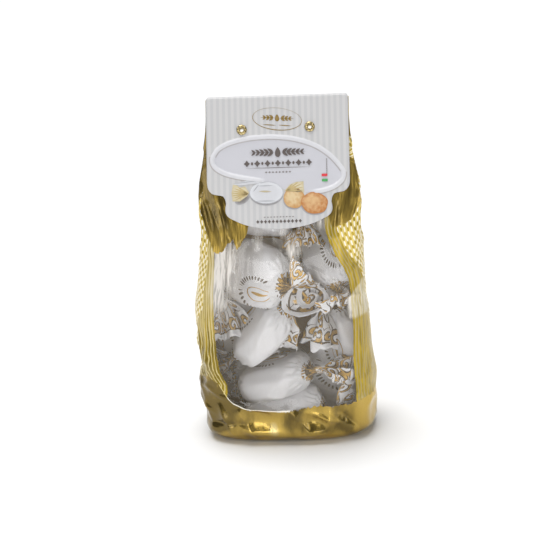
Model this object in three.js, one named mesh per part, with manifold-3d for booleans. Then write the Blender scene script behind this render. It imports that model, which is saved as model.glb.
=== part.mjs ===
// A clear film bag of wrapped almond biscuits, closed at the top by a folded header card and two
// brass eyelets. Millimetres, +Z up. The front faces -Y, and the origin is on the floor under the
// middle of the bag. The bag is one closed solid of the film's outer form: its side gussets fold
// in as pleats where it runs flat, and its front and back lean together into the header.
import * as THREE from "three";
import { mergeVertices } from "three/addons/utils/BufferGeometryUtils.js";
import Module from "manifold-3d";

const wasm = await Module();
wasm.setup();

// Driving dimensions of the bag
const BAG_HEIGHT = 196;
const BODY_HALF_DEPTH = 32;
const TOP_HALF_WIDTH = 39.4;
const SHOULDER_SPREAD = 5.8; // how much each side widens behind and just under the header
const BODY_SPREAD = 4; // and how much more down to the floor
const SHOULDER_START = 186; // the height where the film starts to widen
const GIRTH = 276; // all the way round the film, the same at every height
const FLAT_THICKNESS = 1.5; // the four layers of film in the flat top
const FLAT_FROM = 174; // above this height the gussets lie pressed between front and back
const TOP_LEAN = THREE.MathUtils.degToRad(25); // the flat top and the card lean back
const TOP_FRONT_Y = 7; // the front face of the flat top, at its upper edge
const SPLIT_HEIGHT = 159; // where front and back film part below the flat top
const SPLIT_SOFTNESS = 6;
const FRONT_SOFTNESS = 3;
const FLOOR_ROUNDING = 9;
const GUSSET_OPEN = 108; // below this height the side gussets are filled out flat,
const GUSSET_FOLDED = 150; // and above this one they are folded right in
const GUSSET_LIP = 0.12; // share of a folded side, at each edge, that stays out
const LEAST_LIP = 1.2; // a side thinner than twice this holds no fold
const BODY_SQUARENESS = 3.2; // how square the bag's corners are, seen from above,
const FOLDED_SQUARENESS = 8.2; // and where its sides are folded in

// Driving dimensions of the header card
const CARD_THICKNESS = 0.6;
const CARD_GAP = 0.3; // between the card and the film inside it
const CARD_HALF_WIDTH = 40;
const CARD_LENGTH = 74.4; // front leaf, from the bag's top edge down
const TOP_CORNER = 2.6;
const SHOULDER_DROP = 54.8; // down to the shoulders of the die-cut front
const SHOULDER_CORNER = 7.5;
const TAB_HALF_WIDTH = 30;
const TAB_NECK = 0.6; // the tab's sides draw in by this much
const TAB_SIDE = 14.2; // and are this tall
const TAB_CORNER = 5;
const BACK_LEAF_END = 156; // height of the back leaf's lower edge
const BACK_CORNER = 5;

// Driving dimensions of the eyelets
const EYELETS = [
  { name: "eyelet_left", x: -20, drop: 17.9 },
  { name: "eyelet_right", x: 18.2, drop: 17.2 },
];
const EYELET_BORE = 1.15;
const EYELET_BARREL = 1.75;
const EYELET_FLANGE = 3.0;
const EYELET_DOME = 0.9;
const EYELET_PLAY = 0.35;

// Where a biscuit presses the film out, or the film lies slack between two
const LUMPS = [
  { x: -49, y: -4, z: 70, reach: 26, height: 3.6 },
  { x: -46, y: 0, z: 122, reach: 15, height: -1.6 },
  { x: -49, y: -8, z: 45, reach: 7, height: -3.4 },
  { x: -49, y: -6, z: 34, reach: 18, height: 2.4 },
  { x: 47, y: -10, z: 88, reach: 9, height: -1.6 },
  { x: 50, y: -2, z: 30, reach: 30, height: 2.4 },
  { x: -12, y: -31, z: 92, reach: 20, height: 1.4 },
  { x: -15, y: -32, z: 60, reach: 17, height: 1.2 },
  { x: -6, y: -32, z: 33, reach: 17, height: 1.2 },
  { x: 15, y: -32, z: 76, reach: 12, height: -1.8 },
  { x: 31, y: -29, z: 54, reach: 15, height: 0.9 },
  { x: 12, y: 32, z: 34, reach: 18, height: 1.3 },
  { x: -22, y: 31, z: 62, reach: 18, height: 1.2 },
  { x: 20, y: 30, z: 80, reach: 15, height: -1.2 },
];

const softplus = (t, softness) => softness * Math.log1p(Math.exp(t / softness));
const softMin = (a, b, softness) => a - softplus(a - b, softness);

// The film's outline, height by height
const leanShift = (z) => (BAG_HEIGHT - z) * Math.tan(TOP_LEAN);
const flatDepth = FLAT_THICKNESS / Math.cos(TOP_LEAN);

function floorInset(z) {
  const above = Math.min(z, FLOOR_ROUNDING);
  const drop = FLOOR_ROUNDING - above;
  return FLOOR_ROUNDING - Math.sqrt(FLOOR_ROUNDING ** 2 - drop ** 2);
}

function halfWidth(z) {
  const shoulder = THREE.MathUtils.smoothstep(SHOULDER_START - z, 0, 48);
  const body = THREE.MathUtils.clamp((SHOULDER_START - z) / 150, 0, 1);
  return TOP_HALF_WIDTH + SHOULDER_SPREAD * shoulder + BODY_SPREAD * body - floorInset(z);
}

function frontY(z) {
  const leaning = leanShift(z) - TOP_FRONT_Y;
  return floorInset(z) - softMin(BODY_HALF_DEPTH, leaning, FRONT_SOFTNESS);
}

function backY(z) {
  const parting = softplus(SPLIT_HEIGHT - z, SPLIT_SOFTNESS);
  const leaning = TOP_FRONT_Y + flatDepth - leanShift(z) + parting;
  return softMin(BODY_HALF_DEPTH, leaning, SPLIT_SOFTNESS) - floorInset(z);
}

const gussetFold = (z) => THREE.MathUtils.smoothstep(z, GUSSET_OPEN, GUSSET_FOLDED);

// How far the gusset folds in: what is left of the girth once the two panels are laid flat
function pleatDepth(z, halfDepth) {
  const slack = GIRTH / 4 - halfWidth(z) - floorInset(z);
  const free = Math.sqrt(Math.max(0, slack ** 2 - halfDepth ** 2));
  return gussetFold(z) * free * THREE.MathUtils.clamp(halfDepth / LEAST_LIP - 1, 0, 1);
}

function pushedOut(point, middleY, half, halfDepth) {
  const outward = new THREE.Vector3(point.x / half ** 2, (point.y - middleY) / halfDepth ** 2, 0);
  let out = 0;
  for (const lump of LUMPS) {
    const distance = point.distanceTo(new THREE.Vector3(lump.x, lump.y, lump.z));
    out += lump.height * Math.exp(-((distance / lump.reach) ** 2));
  }
  return point.clone().addScaledVector(outward.normalize(), out);
}

// One level outline of the bag: a rounded rectangle whose sides may fold in
const PANEL_STEPS = 18;
const GUSSET_STEPS = 12;

function bagOutline(z) {
  const middleY = (frontY(z) + backY(z)) / 2;
  const halfDepth = (backY(z) - frontY(z)) / 2;
  const squareness = THREE.MathUtils.lerp(BODY_SQUARENESS, FOLDED_SQUARENESS, gussetFold(z));
  const corner = 2 ** (-1 / squareness);
  const bow = (t) => (1 - Math.abs(t) ** squareness) ** (1 / squareness);
  const pleat = pleatDepth(z, halfDepth);
  // the lips of the folded gusset, not its middle, reach the full width
  const lipReach = bow((1 - GUSSET_LIP) * corner);
  const half = halfWidth(z) / THREE.MathUtils.lerp(1, lipReach, gussetFold(z));
  const points = [];
  const add = (x, y) =>
    points.push(pushedOut(new THREE.Vector3(x, y, z), middleY, half, halfDepth));
  const panel = (side) => {
    for (let i = 0; i < PANEL_STEPS; i++) {
      const across = (-1 + (2 * i) / PANEL_STEPS) * corner;
      add(side * half * across, middleY - side * halfDepth * bow(across));
    }
  };
  const gusset = (side) => {
    for (let i = 0; i < GUSSET_STEPS; i++) {
      const along = -1 + (2 * i) / GUSSET_STEPS;
      const fold = THREE.MathUtils.clamp((1 - Math.abs(along) - GUSSET_LIP) / (1 - GUSSET_LIP), 0, 1);
      const reach = half * bow(along * corner) - pleat * fold;
      add(side * reach, middleY + side * halfDepth * along * corner);
    }
  };
  panel(1);
  gusset(1);
  panel(-1);
  gusset(-1);
  return points;
}

const evenSteps = (from, to, count) =>
  Array.from({ length: count }, (_, i) => from + ((to - from) * i) / count);

function levels() {
  const rounding = Array.from({ length: 4 }, (_, i) => FLOOR_ROUNDING * (1 - Math.cos((i * Math.PI) / 8)));
  const body = evenSteps(FLOOR_ROUNDING, GUSSET_OPEN, 15);
  const gussets = evenSteps(GUSSET_OPEN, FLAT_FROM, 16);
  return [...rounding, ...body, ...gussets, ...evenSteps(FLAT_FROM, BAG_HEIGHT, 2), BAG_HEIGHT];
}

// Rings of points joined into one closed skin, with a fan over each end
function loft(rings) {
  const around = rings[0].length;
  const positions = rings.flat().flatMap((p) => [p.x, p.y, p.z]);
  const index = [];
  for (let row = 0; row < rings.length - 1; row++) {
    for (let i = 0; i < around; i++) {
      const next = (i + 1) % around;
      const low = row * around;
      const high = low + around;
      index.push(low + i, low + next, high + next, low + i, high + next, high + i);
    }
  }
  const fan = (first, up) => {
    const ring = rings[first / around];
    const middle = new THREE.Vector3();
    ring.forEach((p) => middle.addScaledVector(p, 1 / around));
    const centre = positions.length / 3;
    positions.push(middle.x, middle.y, middle.z);
    for (let i = 0; i < around; i++) {
      const here = first + i;
      const next = first + ((i + 1) % around);
      index.push(...(up ? [here, next, centre] : [next, here, centre]));
    }
  };
  fan(0, false);
  fan((rings.length - 1) * around, true);
  const geometry = new THREE.BufferGeometry();
  geometry.setAttribute("position", new THREE.Float32BufferAttribute(positions, 3));
  geometry.setIndex(index);
  return geometry;
}

function toSolid(geometry) {
  const bare = geometry.clone();
  bare.deleteAttribute("normal");
  bare.deleteAttribute("uv");
  const merged = mergeVertices(bare, 1e-4);
  return new wasm.Manifold(
    new wasm.Mesh({
      numProp: 3,
      vertProperties: merged.attributes.position.array,
      triVerts: new Uint32Array(merged.index.array),
    }),
  );
}

function toGeometry(solid) {
  const mesh = solid.getMesh();
  const geometry = new THREE.BufferGeometry();
  geometry.setAttribute("position", new THREE.BufferAttribute(mesh.vertProperties, 3));
  geometry.setIndex(new THREE.BufferAttribute(mesh.triVerts, 1));
  geometry.computeVertexNormals();
  return geometry;
}

// The header's own frame: its origin is the middle of the bag's top edge, and -Z runs down the card
const header = new THREE.Group();
header.position.set(0, TOP_FRONT_Y + flatDepth / 2, BAG_HEIGHT);
header.rotation.x = -TOP_LEAN;
header.updateMatrix();

const innerFace = FLAT_THICKNESS / 2 + CARD_GAP;
const outerFace = innerFace + CARD_THICKNESS;
const PAST_EDGE = outerFace + 1; // cutting outlines run this far past the fold

// The back film's own curve in the header's frame, which the back leaf lies along
function backCurve(offset) {
  const toHeader = header.matrix.clone().invert();
  const steps = 12;
  const points = [];
  for (let i = 0; i <= steps; i++) {
    const z = BAG_HEIGHT - 4 - ((BAG_HEIGHT - 4 - BACK_LEAF_END) * i) / steps;
    const here = new THREE.Vector3(0, backY(z), z).applyMatrix4(toHeader);
    const below = new THREE.Vector3(0, backY(z - 0.5), z - 0.5).applyMatrix4(toHeader);
    const down = below.sub(here).normalize();
    points.push(new THREE.Vector2(here.y - down.z * offset, here.z + down.y * offset));
  }
  return points;
}

// The folded card seen from its side, as a closed outline across (y) and up (z)
function cardSection() {
  const outline = new THREE.Shape();
  const back = [CARD_GAP, CARD_GAP + CARD_THICKNESS].map(backCurve);
  outline.moveTo(-outerFace, -CARD_LENGTH - PAST_EDGE);
  outline.lineTo(-outerFace, 0);
  outline.absarc(0, 0, outerFace, Math.PI, 0, true);
  back[1].forEach((p) => outline.lineTo(p.x, p.y));
  back[0].reverse().forEach((p) => outline.lineTo(p.x, p.y));
  outline.lineTo(innerFace, 0);
  outline.absarc(0, 0, innerFace, 0, Math.PI, false);
  outline.lineTo(-innerFace, -CARD_LENGTH - PAST_EDGE);
  outline.closePath();
  return outline;
}

// The die-cut front: a plate with round shoulders over a narrower tab with a bowed lower edge
function frontOutline() {
  const side = CARD_HALF_WIDTH;
  const shoulder = -SHOULDER_DROP;
  const tab = TAB_HALF_WIDTH;
  const tabLow = shoulder - TAB_SIDE;
  const tip = -CARD_LENGTH;
  const half = new THREE.Path();
  half.moveTo(side, PAST_EDGE);
  half.lineTo(side, shoulder + SHOULDER_CORNER);
  half.quadraticCurveTo(side, shoulder, side - SHOULDER_CORNER, shoulder);
  half.quadraticCurveTo(tab, shoulder, tab - TAB_NECK, shoulder - 0.35 * TAB_SIDE);
  half.bezierCurveTo(tab + TAB_NECK, shoulder - 0.65 * TAB_SIDE, tab, tabLow + 2, tab - TAB_CORNER, tabLow);
  half.bezierCurveTo(0.57 * tab, tip + 0.8, 0.23 * tab, tip, 0, tip);
  const right = half.getPoints(8);
  const left = right.slice(0, -1).map((p) => new THREE.Vector2(-p.x, p.y));
  return new THREE.Shape([...right, ...left.reverse()]);
}

function backOutline() {
  const toHeader = header.matrix.clone().invert();
  const end = new THREE.Vector3(0, backY(BACK_LEAF_END), BACK_LEAF_END).applyMatrix4(toHeader).z;
  const outline = new THREE.Shape();
  outline.moveTo(-CARD_HALF_WIDTH, PAST_EDGE);
  outline.lineTo(-CARD_HALF_WIDTH, end + BACK_CORNER);
  outline.absarc(-CARD_HALF_WIDTH + BACK_CORNER, end + BACK_CORNER, BACK_CORNER, Math.PI, 1.5 * Math.PI);
  outline.absarc(CARD_HALF_WIDTH - BACK_CORNER, end + BACK_CORNER, BACK_CORNER, 1.5 * Math.PI, 0);
  outline.lineTo(CARD_HALF_WIDTH, PAST_EDGE);
  outline.closePath();
  return outline;
}

// The top corners are rounded over the fold, as the die cuts them in the flat
function foldCorners() {
  const outline = new THREE.Shape();
  const edge = CARD_HALF_WIDTH;
  const top = outerFace;
  const low = -CARD_LENGTH - PAST_EDGE;
  outline.moveTo(-edge, low);
  outline.lineTo(edge, low);
  outline.absarc(edge - TOP_CORNER, top - TOP_CORNER, TOP_CORNER, 0, Math.PI / 2);
  outline.absarc(-edge + TOP_CORNER, top - TOP_CORNER, TOP_CORNER, Math.PI / 2, Math.PI);
  outline.closePath();
  return outline;
}

// An outline drawn across (x) and up (z), swept through a span of y
function sweptThrough(outline, fromY, toY, curveSegments) {
  const geometry = new THREE.ExtrudeGeometry(outline, {
    depth: toY - fromY,
    bevelEnabled: false,
    curveSegments,
  });
  geometry.rotateX(Math.PI / 2);
  geometry.translate(0, toY, 0);
  return toSolid(geometry);
}

function cardSolid() {
  const sheet = new THREE.ExtrudeGeometry(cardSection(), {
    depth: 2 * CARD_HALF_WIDTH,
    bevelEnabled: false,
    curveSegments: 10,
  });
  // the section's x and y become the header's y and z, and its depth becomes x
  const axes = new THREE.Matrix4().makeBasis(
    new THREE.Vector3(0, 1, 0),
    new THREE.Vector3(0, 0, 1),
    new THREE.Vector3(1, 0, 0),
  );
  sheet.applyMatrix4(axes).translate(-CARD_HALF_WIDTH, 0, 0);
  const front = sweptThrough(frontOutline(), -6, 0, 8);
  const back = sweptThrough(backOutline(), 0, 40, 6);
  const corners = sweptThrough(foldCorners(), -7, 41, 6);
  const holes = eyeletHoles(EYELET_BARREL + EYELET_PLAY);
  return toSolid(sheet).intersect(front.add(back)).intersect(corners).subtract(holes);
}

// Both eyelet holes as cylinders in the header's frame
function eyeletHoles(radius) {
  const [left, right] = EYELETS.map(({ x, drop }) => {
    const cylinder = new THREE.CylinderGeometry(radius, radius, 8, 24);
    cylinder.translate(x, 0, -drop);
    return toSolid(cylinder);
  });
  return left.add(right);
}

function bagSolid() {
  const holes = eyeletHoles(EYELET_BARREL + EYELET_PLAY);
  return toSolid(loft(levels().map(bagOutline))).subtract(holes.transform(header.matrix.toArray()));
}

// A turned eyelet: a barrel with a domed flange in front and one rolled over behind
function eyeletGeometry() {
  const seat = outerFace + 0.3;
  const rim = 0.25;
  const profile = [
    [EYELET_BORE, -seat - EYELET_DOME],
    [EYELET_BORE + 0.8, -seat - EYELET_DOME],
    [EYELET_FLANGE - 0.5, -seat - 0.65 * EYELET_DOME],
    [EYELET_FLANGE, -seat - rim],
    [EYELET_FLANGE, -seat],
    [EYELET_BARREL, -seat],
    [EYELET_BARREL, seat],
    [EYELET_FLANGE - 0.2, seat],
    [EYELET_FLANGE - 0.2, seat + rim],
    [EYELET_BARREL + 0.5, seat + 0.8 * EYELET_DOME],
    [EYELET_BORE, seat + 0.8 * EYELET_DOME],
    [EYELET_BORE, -seat - EYELET_DOME],
  ];
  const points = profile.map(([radius, y]) => new THREE.Vector2(radius, y));
  return new THREE.LatheGeometry(points, 28);
}

const film = new THREE.MeshStandardMaterial({ color: 0xd9cfa0, roughness: 0.2, metalness: 0.1 });
const board = new THREE.MeshStandardMaterial({ color: 0xd4d5d7, roughness: 0.6, metalness: 0 });
const brass = new THREE.MeshStandardMaterial({ color: 0xb8964a, roughness: 0.3, metalness: 1 });

function named(name, geometry, material) {
  const mesh = new THREE.Mesh(geometry, material);
  mesh.name = name;
  return mesh;
}

const pack = new THREE.Group();
pack.add(named("bag", toGeometry(bagSolid()), film));
header.add(named("header_card", toGeometry(cardSolid()), board));
for (const { name, x, drop } of EYELETS) {
  const eyelet = named(name, eyeletGeometry(), brass);
  eyelet.position.set(x, 0, -drop);
  header.add(eyelet);
}
pack.add(header);

export default pack;
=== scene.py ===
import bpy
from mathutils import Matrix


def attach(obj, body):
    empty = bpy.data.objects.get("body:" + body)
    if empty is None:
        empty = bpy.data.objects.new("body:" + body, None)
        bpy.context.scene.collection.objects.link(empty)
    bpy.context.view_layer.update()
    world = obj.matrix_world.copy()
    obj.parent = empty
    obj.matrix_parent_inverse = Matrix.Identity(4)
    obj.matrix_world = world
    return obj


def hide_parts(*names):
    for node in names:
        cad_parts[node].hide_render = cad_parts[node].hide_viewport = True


bl_info = {
    "name": "Bag of Wrapped Biscuits",
    "version": (1, 0, 0),
    "blender": (4, 5, 0),
    "location": "View3D > Sidebar > Biscuit Bag",
    "description": "Dresses a header-card bag: printed film, wrapped biscuits, card and eyelets",
    "category": "Object",
}

import math

import bmesh
import bpy
import numpy as np
from mathutils import Matrix, Vector

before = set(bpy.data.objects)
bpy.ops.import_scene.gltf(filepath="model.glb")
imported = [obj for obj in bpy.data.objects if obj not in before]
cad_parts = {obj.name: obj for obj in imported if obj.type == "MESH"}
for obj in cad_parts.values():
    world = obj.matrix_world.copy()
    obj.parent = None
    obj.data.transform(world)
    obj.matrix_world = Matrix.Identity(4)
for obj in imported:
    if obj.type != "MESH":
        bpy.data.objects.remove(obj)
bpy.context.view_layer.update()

MM = 0.001
BODY = "root"
UV_UNIT = 100.0  # millimetres to one unit of a UV layer

# ---------------------------------------------------------------- sizes, in millimetres
# The bag, as its solid has it
BAG_HEIGHT = 196.0
BODY_HALF_DEPTH = 32.0
TOP_HALF_WIDTH = 39.4
SHOULDER_SPREAD = 5.8
SHOULDER_START = 186.0
BODY_SPREAD = 4.0
GIRTH = 276.0
FLAT_THICKNESS = 1.5
TOP_LEAN = math.radians(25)
TOP_FRONT_Y = 7.0
SPLIT_HEIGHT = 159.0
SPLIT_SOFTNESS = 6.0
FRONT_SOFTNESS = 3.0
FLOOR_ROUNDING = 9.0
GUSSET_OPEN = 108.0
GUSSET_FOLDED = 150.0
GUSSET_LIP = 0.12
LEAST_LIP = 1.2
BODY_SQUARENESS = 3.2
FOLDED_SQUARENESS = 8.2
FLAT_DEPTH = FLAT_THICKNESS / math.cos(TOP_LEAN)
# x, y, z, reach and height of each swelling or dent that a biscuit makes in the film
LUMPS = [
    (-49, -4, 70, 26, 3.6),
    (-46, 0, 122, 15, -1.6),
    (-49, -8, 45, 7, -3.4),
    (-49, -6, 34, 18, 2.4),
    (47, -10, 88, 9, -1.6),
    (50, -2, 30, 30, 2.4),
    (-12, -31, 92, 20, 1.4),
    (-15, -32, 60, 17, 1.2),
    (-6, -32, 33, 17, 1.2),
    (15, -32, 76, 12, -1.8),
    (31, -29, 54, 15, 0.9),
    (12, 32, 34, 18, 1.3),
    (-22, 31, 62, 18, 1.2),
    (20, 30, 80, 15, -1.2),
]

# The header card and its eyelets, as their solids have them
CARD_THICKNESS = 0.6
CARD_GAP = 0.3
CARD_HALF_WIDTH = 40.0
CARD_LENGTH = 74.4
TOP_CORNER = 2.6
SHOULDER_DROP = 54.8
SHOULDER_CORNER = 7.5
TAB_HALF_WIDTH = 30.0
TAB_NECK = 0.6
TAB_SIDE = 14.2
TAB_CORNER = 5.0
BACK_LEAF_END = 156.0
BACK_CORNER = 5.0
CARD_INNER = FLAT_THICKNESS / 2 + CARD_GAP
CARD_OUTER = CARD_INNER + CARD_THICKNESS
EYELETS = {"eyelet_left": (-20.0, 17.9), "eyelet_right": (18.2, 17.2)}
EYELET_BORE = 1.15
EYELET_BARREL = 1.75
EYELET_FLANGE = 3.0
EYELET_PLAY = 0.35

# The oval frame pressed into the card, by places on it: across and down from the top edge
OVAL = [
    (-36.9, 34.6), (-35.4, 30.9), (-32.6, 27.8), (-26.1, 24.8), (-16.5, 22.8), (-7.2, 22.2),
    (1.0, 22.5), (10.3, 24.0), (20.6, 27.6), (28.8, 33.2), (34.2, 39.2), (36.6, 43.8),
    (35.0, 48.6), (29.1, 52.3), (20.0, 54.1), (8.0, 53.6), (-2.0, 50.0), (-9.0, 47.3),
    (-18.0, 45.5), (-25.0, 44.0), (-31.2, 41.8), (-35.5, 38.6),
]
OVAL_RING = 2.3
OVAL_HEIGHT = 0.55

# One wrapped biscuit
BISCUIT_RADIUS = 20.5
BISCUIT_HALF_THICKNESS = 11.0
NECK_AT = 25.0
NECK_RADIUS = 2.3
FAN_LENGTH = 27.0
PAPER_GIRTH = 112.0
PAPER_THICKNESS = 0.1


# ---------------------------------------------------------------- settings
def linear(colour):
    """An sRGB hex value as linear red, green, blue and alpha."""
    parts = [int(colour[i : i + 2], 16) / 255 for i in (1, 3, 5)]
    return (*[c / 12.92 if c <= 0.04045 else ((c + 0.055) / 1.055) ** 2.4 for c in parts], 1.0)


class FilmSettings(bpy.types.PropertyGroup):
    stripe_pitch: bpy.props.FloatProperty(
        name="Stripe pitch",
        description="From one gold stripe to the next",
        default=0.0021,
        unit="LENGTH",
    )
    gold: bpy.props.FloatVectorProperty(
        name="Gold ink",
        description="Colour of the solid metallic print",
        subtype="COLOR",
        size=3,
        default=linear("#B99C4A")[:3],
    )
    bright_gold: bpy.props.FloatVectorProperty(
        name="Bright gold",
        description="Colour of the stripes and the lattice",
        subtype="COLOR",
        size=3,
        default=linear("#B79C2E")[:3],
    )
    creases: bpy.props.IntProperty(
        name="Creases",
        description="Sharp random creases over the whole film",
        default=70,
    )
    seed: bpy.props.IntProperty(name="Seed", description="Draws the creases", default=7)


class BiscuitSettings(bpy.types.PropertyGroup):
    fan_length: bpy.props.FloatProperty(
        name="Fan length",
        description="Paper past each twist",
        default=FAN_LENGTH * MM,
        unit="LENGTH",
    )
    paper: bpy.props.FloatVectorProperty(
        name="Paper",
        description="Colour of the waxed paper",
        subtype="COLOR",
        size=3,
        default=linear("#E0E0E3")[:3],
    )
    seed: bpy.props.IntProperty(name="Seed", description="Draws folds and facets", default=11)


class CardSettings(bpy.types.PropertyGroup):
    stripe_pitch: bpy.props.FloatProperty(
        name="Stripe pitch",
        description="From one grey stripe to the next",
        default=0.0033,
        unit="LENGTH",
    )
    leaves: bpy.props.IntProperty(
        name="Leaf pairs",
        description="Printed leaves on each side of the row in the oval",
        default=5,
    )
    ornament: bpy.props.FloatVectorProperty(
        name="Ornament",
        description="Colour of the printed row in the oval",
        subtype="COLOR",
        size=3,
        default=linear("#5E5653")[:3],
    )


class EyeletSettings(bpy.types.PropertyGroup):
    petals: bpy.props.IntProperty(
        name="Petals",
        description="Split petals of the turned-over flange",
        default=9,
        min=5,
    )


class StageSettings(bpy.types.PropertyGroup):
    floor: bpy.props.FloatVectorProperty(
        name="Floor",
        description="Colour of the floor and the backdrop",
        subtype="COLOR",
        size=3,
        default=linear("#F0F0F0")[:3],
    )
    distance: bpy.props.FloatProperty(
        name="Camera distance",
        description="From the camera to the middle of the bag",
        default=0.85,
        unit="LENGTH",
    )


# ---------------------------------------------------------------- numbers and meshes
def smoothstep(x, low, high):
    t = np.clip((np.asarray(x, float) - low) / (high - low), 0, 1)
    return t * t * (3 - 2 * t)


def softplus(t, softness):
    """The greater of t and 0, with a soft corner."""
    return softness * np.logaddexp(0, np.asarray(t, float) / softness)


def soft_min(a, b, softness):
    """The lesser of a and b, with a soft corner."""
    return a - softplus(a - b, softness)


def lerp(a, b, t):
    return a + (b - a) * t


def unit(vectors):
    return vectors / np.maximum(np.linalg.norm(vectors, axis=-1, keepdims=True), 1e-12)


class Noise:
    """Smooth random values between -1 and 1 over space, the same for the same seed."""

    SIZE = 32

    def __init__(self, seed):
        self.values = np.random.default_rng(seed).uniform(-1, 1, (self.SIZE,) * 3)

    def at(self, points, scale):
        spot = np.asarray(points, float) / scale
        cell = np.floor(spot).astype(int)
        part = spot - cell
        part = part * part * (3 - 2 * part)
        total = np.zeros(spot.shape[:-1])
        for corner in np.ndindex(2, 2, 2):
            share = np.where(np.array(corner) == 1, part, 1 - part).prod(-1)
            i, j, k = np.moveaxis((cell + corner) % self.SIZE, -1, 0)
            total += share * self.values[i, j, k]
        return total

    def ridged(self, points, scale):
        return 1 - 2 * np.abs(self.at(points, scale))


def grid_normals(points, wrap):
    """Normals of a grid of points whose columns run around and whose rows run along."""
    if wrap:
        around = np.roll(points, -1, 1) - np.roll(points, 1, 1)
    else:
        around = np.gradient(points, axis=1)
    along = np.gradient(points, axis=0)
    return unit(np.cross(around, along))


def grid_object(name, points, layers, wrap, poles=()):
    """A mesh from a grid of points in millimetres. Each named layer holds two numbers a point,
    with one column more where the grid wraps, and a pole closes an end row with a fan."""
    rows, columns = points.shape[:2]
    spans = columns if wrap else columns - 1
    row, column = np.meshgrid(np.arange(rows - 1), np.arange(spans), indexing="ij")
    corners = [(row, column), (row, column + 1), (row + 1, column + 1), (row + 1, column)]
    quads = np.stack([r * columns + c % columns for r, c in corners], -1).reshape(-1, 4)
    vertices = points.reshape(-1, 3)
    faces = quads.tolist()
    places = {
        key: [np.stack([layer[r, c] for r, c in corners], 2).reshape(-1, 2)]
        for key, layer in layers.items()
    }
    for end in poles:
        ring = np.arange(columns) + (0 if end == 0 else (rows - 1) * columns)
        after = np.roll(ring, -1)
        centre = len(vertices)
        vertices = np.vstack([vertices, vertices[ring].mean(0)])
        pairs = zip(after, ring) if end == 0 else zip(ring, after)
        faces += [(int(a), int(b), centre) for a, b in pairs]
        for key, layer in layers.items():
            edge = layer[end]
            middle = np.repeat(edge.mean(0)[None], columns, 0)
            pair = (edge[1:], edge[:-1]) if end == 0 else (edge[:-1], edge[1:])
            places[key].append(np.stack([*pair, middle], 1).reshape(-1, 2))
    mesh = bpy.data.meshes.new(name)
    mesh.from_pydata((vertices * MM).tolist(), [], faces)
    for key, parts in places.items():
        layer = mesh.uv_layers.new(name=key)
        layer.uv.foreach_set("vector", np.vstack(parts).astype(np.float32).ravel())
    mesh.shade_smooth()
    made = bpy.data.objects.new(name, mesh)
    bpy.context.scene.collection.objects.link(made)
    return made


def plain_object(name, vertices, faces):
    mesh = bpy.data.meshes.new(name)
    mesh.from_pydata(vertices, [], faces)
    made = bpy.data.objects.new(name, mesh)
    bpy.context.scene.collection.objects.link(made)
    return made


def bake_modifiers(made):
    """Turns what the modifiers make into the object's own plain mesh."""
    graph = bpy.context.evaluated_depsgraph_get()
    graph.update()
    mesh = bpy.data.meshes.new_from_object(made.evaluated_get(graph), depsgraph=graph)
    made.modifiers.clear()
    made.data = mesh
    mesh.name = made.name
    return made


def thicken(made, thickness, offset=0):
    """Gives a sheet a wall this many millimetres thick, to both sides, or inwards at -1."""
    wall = made.modifiers.new("wall", "SOLIDIFY")
    wall.thickness, wall.offset = thickness * MM, offset
    bake_modifiers(made)


def dress(made, material):
    """Smooth, and in one material all over."""
    made.data.shade_smooth()
    made.data.materials.clear()
    made.data.materials.append(material)


def own(made, slot, *nodes):
    """The piece rides on the body and stands for the named nodes, which it hides; slot is not used."""
    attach(made, BODY)
    if nodes:
        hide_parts(*nodes)
    return made


# ---------------------------------------------------------------- materials: helpers
def new_material(name):
    made = bpy.data.materials.new(name)
    made.use_nodes = True
    made.node_tree.nodes.clear()
    return made, made.node_tree


def add(tree, kind, links=None, **settings):
    """Adds a node, with its settings and with each input linked or set. Gives the node back."""
    made = tree.nodes.new(kind)
    for key, value in settings.items():
        setattr(made, key, value)
    for key, value in (links or {}).items():
        if isinstance(value, bpy.types.Node):
            value = value.outputs[0]
        if isinstance(value, bpy.types.NodeSocket):
            tree.links.new(value, made.inputs[key])
        else:
            made.inputs[key].default_value = value
    return made


def formula(tree, text, known):
    """A formula in the known values, as nodes. It may hold + - * / with a space on either side,
    brackets, numbers and the Math node's own operations, such as fract(x) and less_than(x, y)."""
    tokens = text.replace("(", " ( ").replace(")", " ) ").replace(",", " , ").split()
    signs = {"+": "ADD", "-": "SUBTRACT", "*": "MULTIPLY", "/": "DIVIDE"}

    def operate(operation, *inputs):
        return add(tree, "ShaderNodeMath", dict(enumerate(inputs)), operation=operation)

    def term():
        word = tokens.pop(0)
        if word == "(":
            inner = total()
            tokens.pop(0)
            return inner
        if tokens and tokens[0] == "(":
            tokens.pop(0)
            inputs = [total()]
            while tokens.pop(0) == ",":
                inputs.append(total())
            return operate(word.upper(), *inputs)
        return known[word] if word in known else float(word)

    def chain(part, marks):
        left = part()
        while tokens and tokens[0] in marks:
            left = operate(signs[tokens.pop(0)], left, part())
        return left

    def product():
        return chain(term, "*/")

    def total():
        return chain(product, "+-")

    return total()


def work_out(tree, known, **texts):
    """Adds named values to the known ones, each by a formula in those before it."""
    for name, text in texts.items():
        known[name] = formula(tree, text, known)


def toned(colour, share=1.0):
    """A colour for a shader, from a hex value or a colour setting, darkened to a share of it."""
    parts = linear(colour)[:3] if isinstance(colour, str) else colour
    return (*[part * share for part in parts], 1.0)


def scale_of(size):
    """The scale of a noise on Object coordinates whose features are this many millimetres."""
    return 1 / (size * MM)


# ---------------------------------------------------------------- the bag's form
def floor_inset(z):
    """How far the foot is rounded in at a height."""
    drop = FLOOR_ROUNDING - np.minimum(z, FLOOR_ROUNDING)
    return FLOOR_ROUNDING - np.sqrt(FLOOR_ROUNDING**2 - drop**2)


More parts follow.
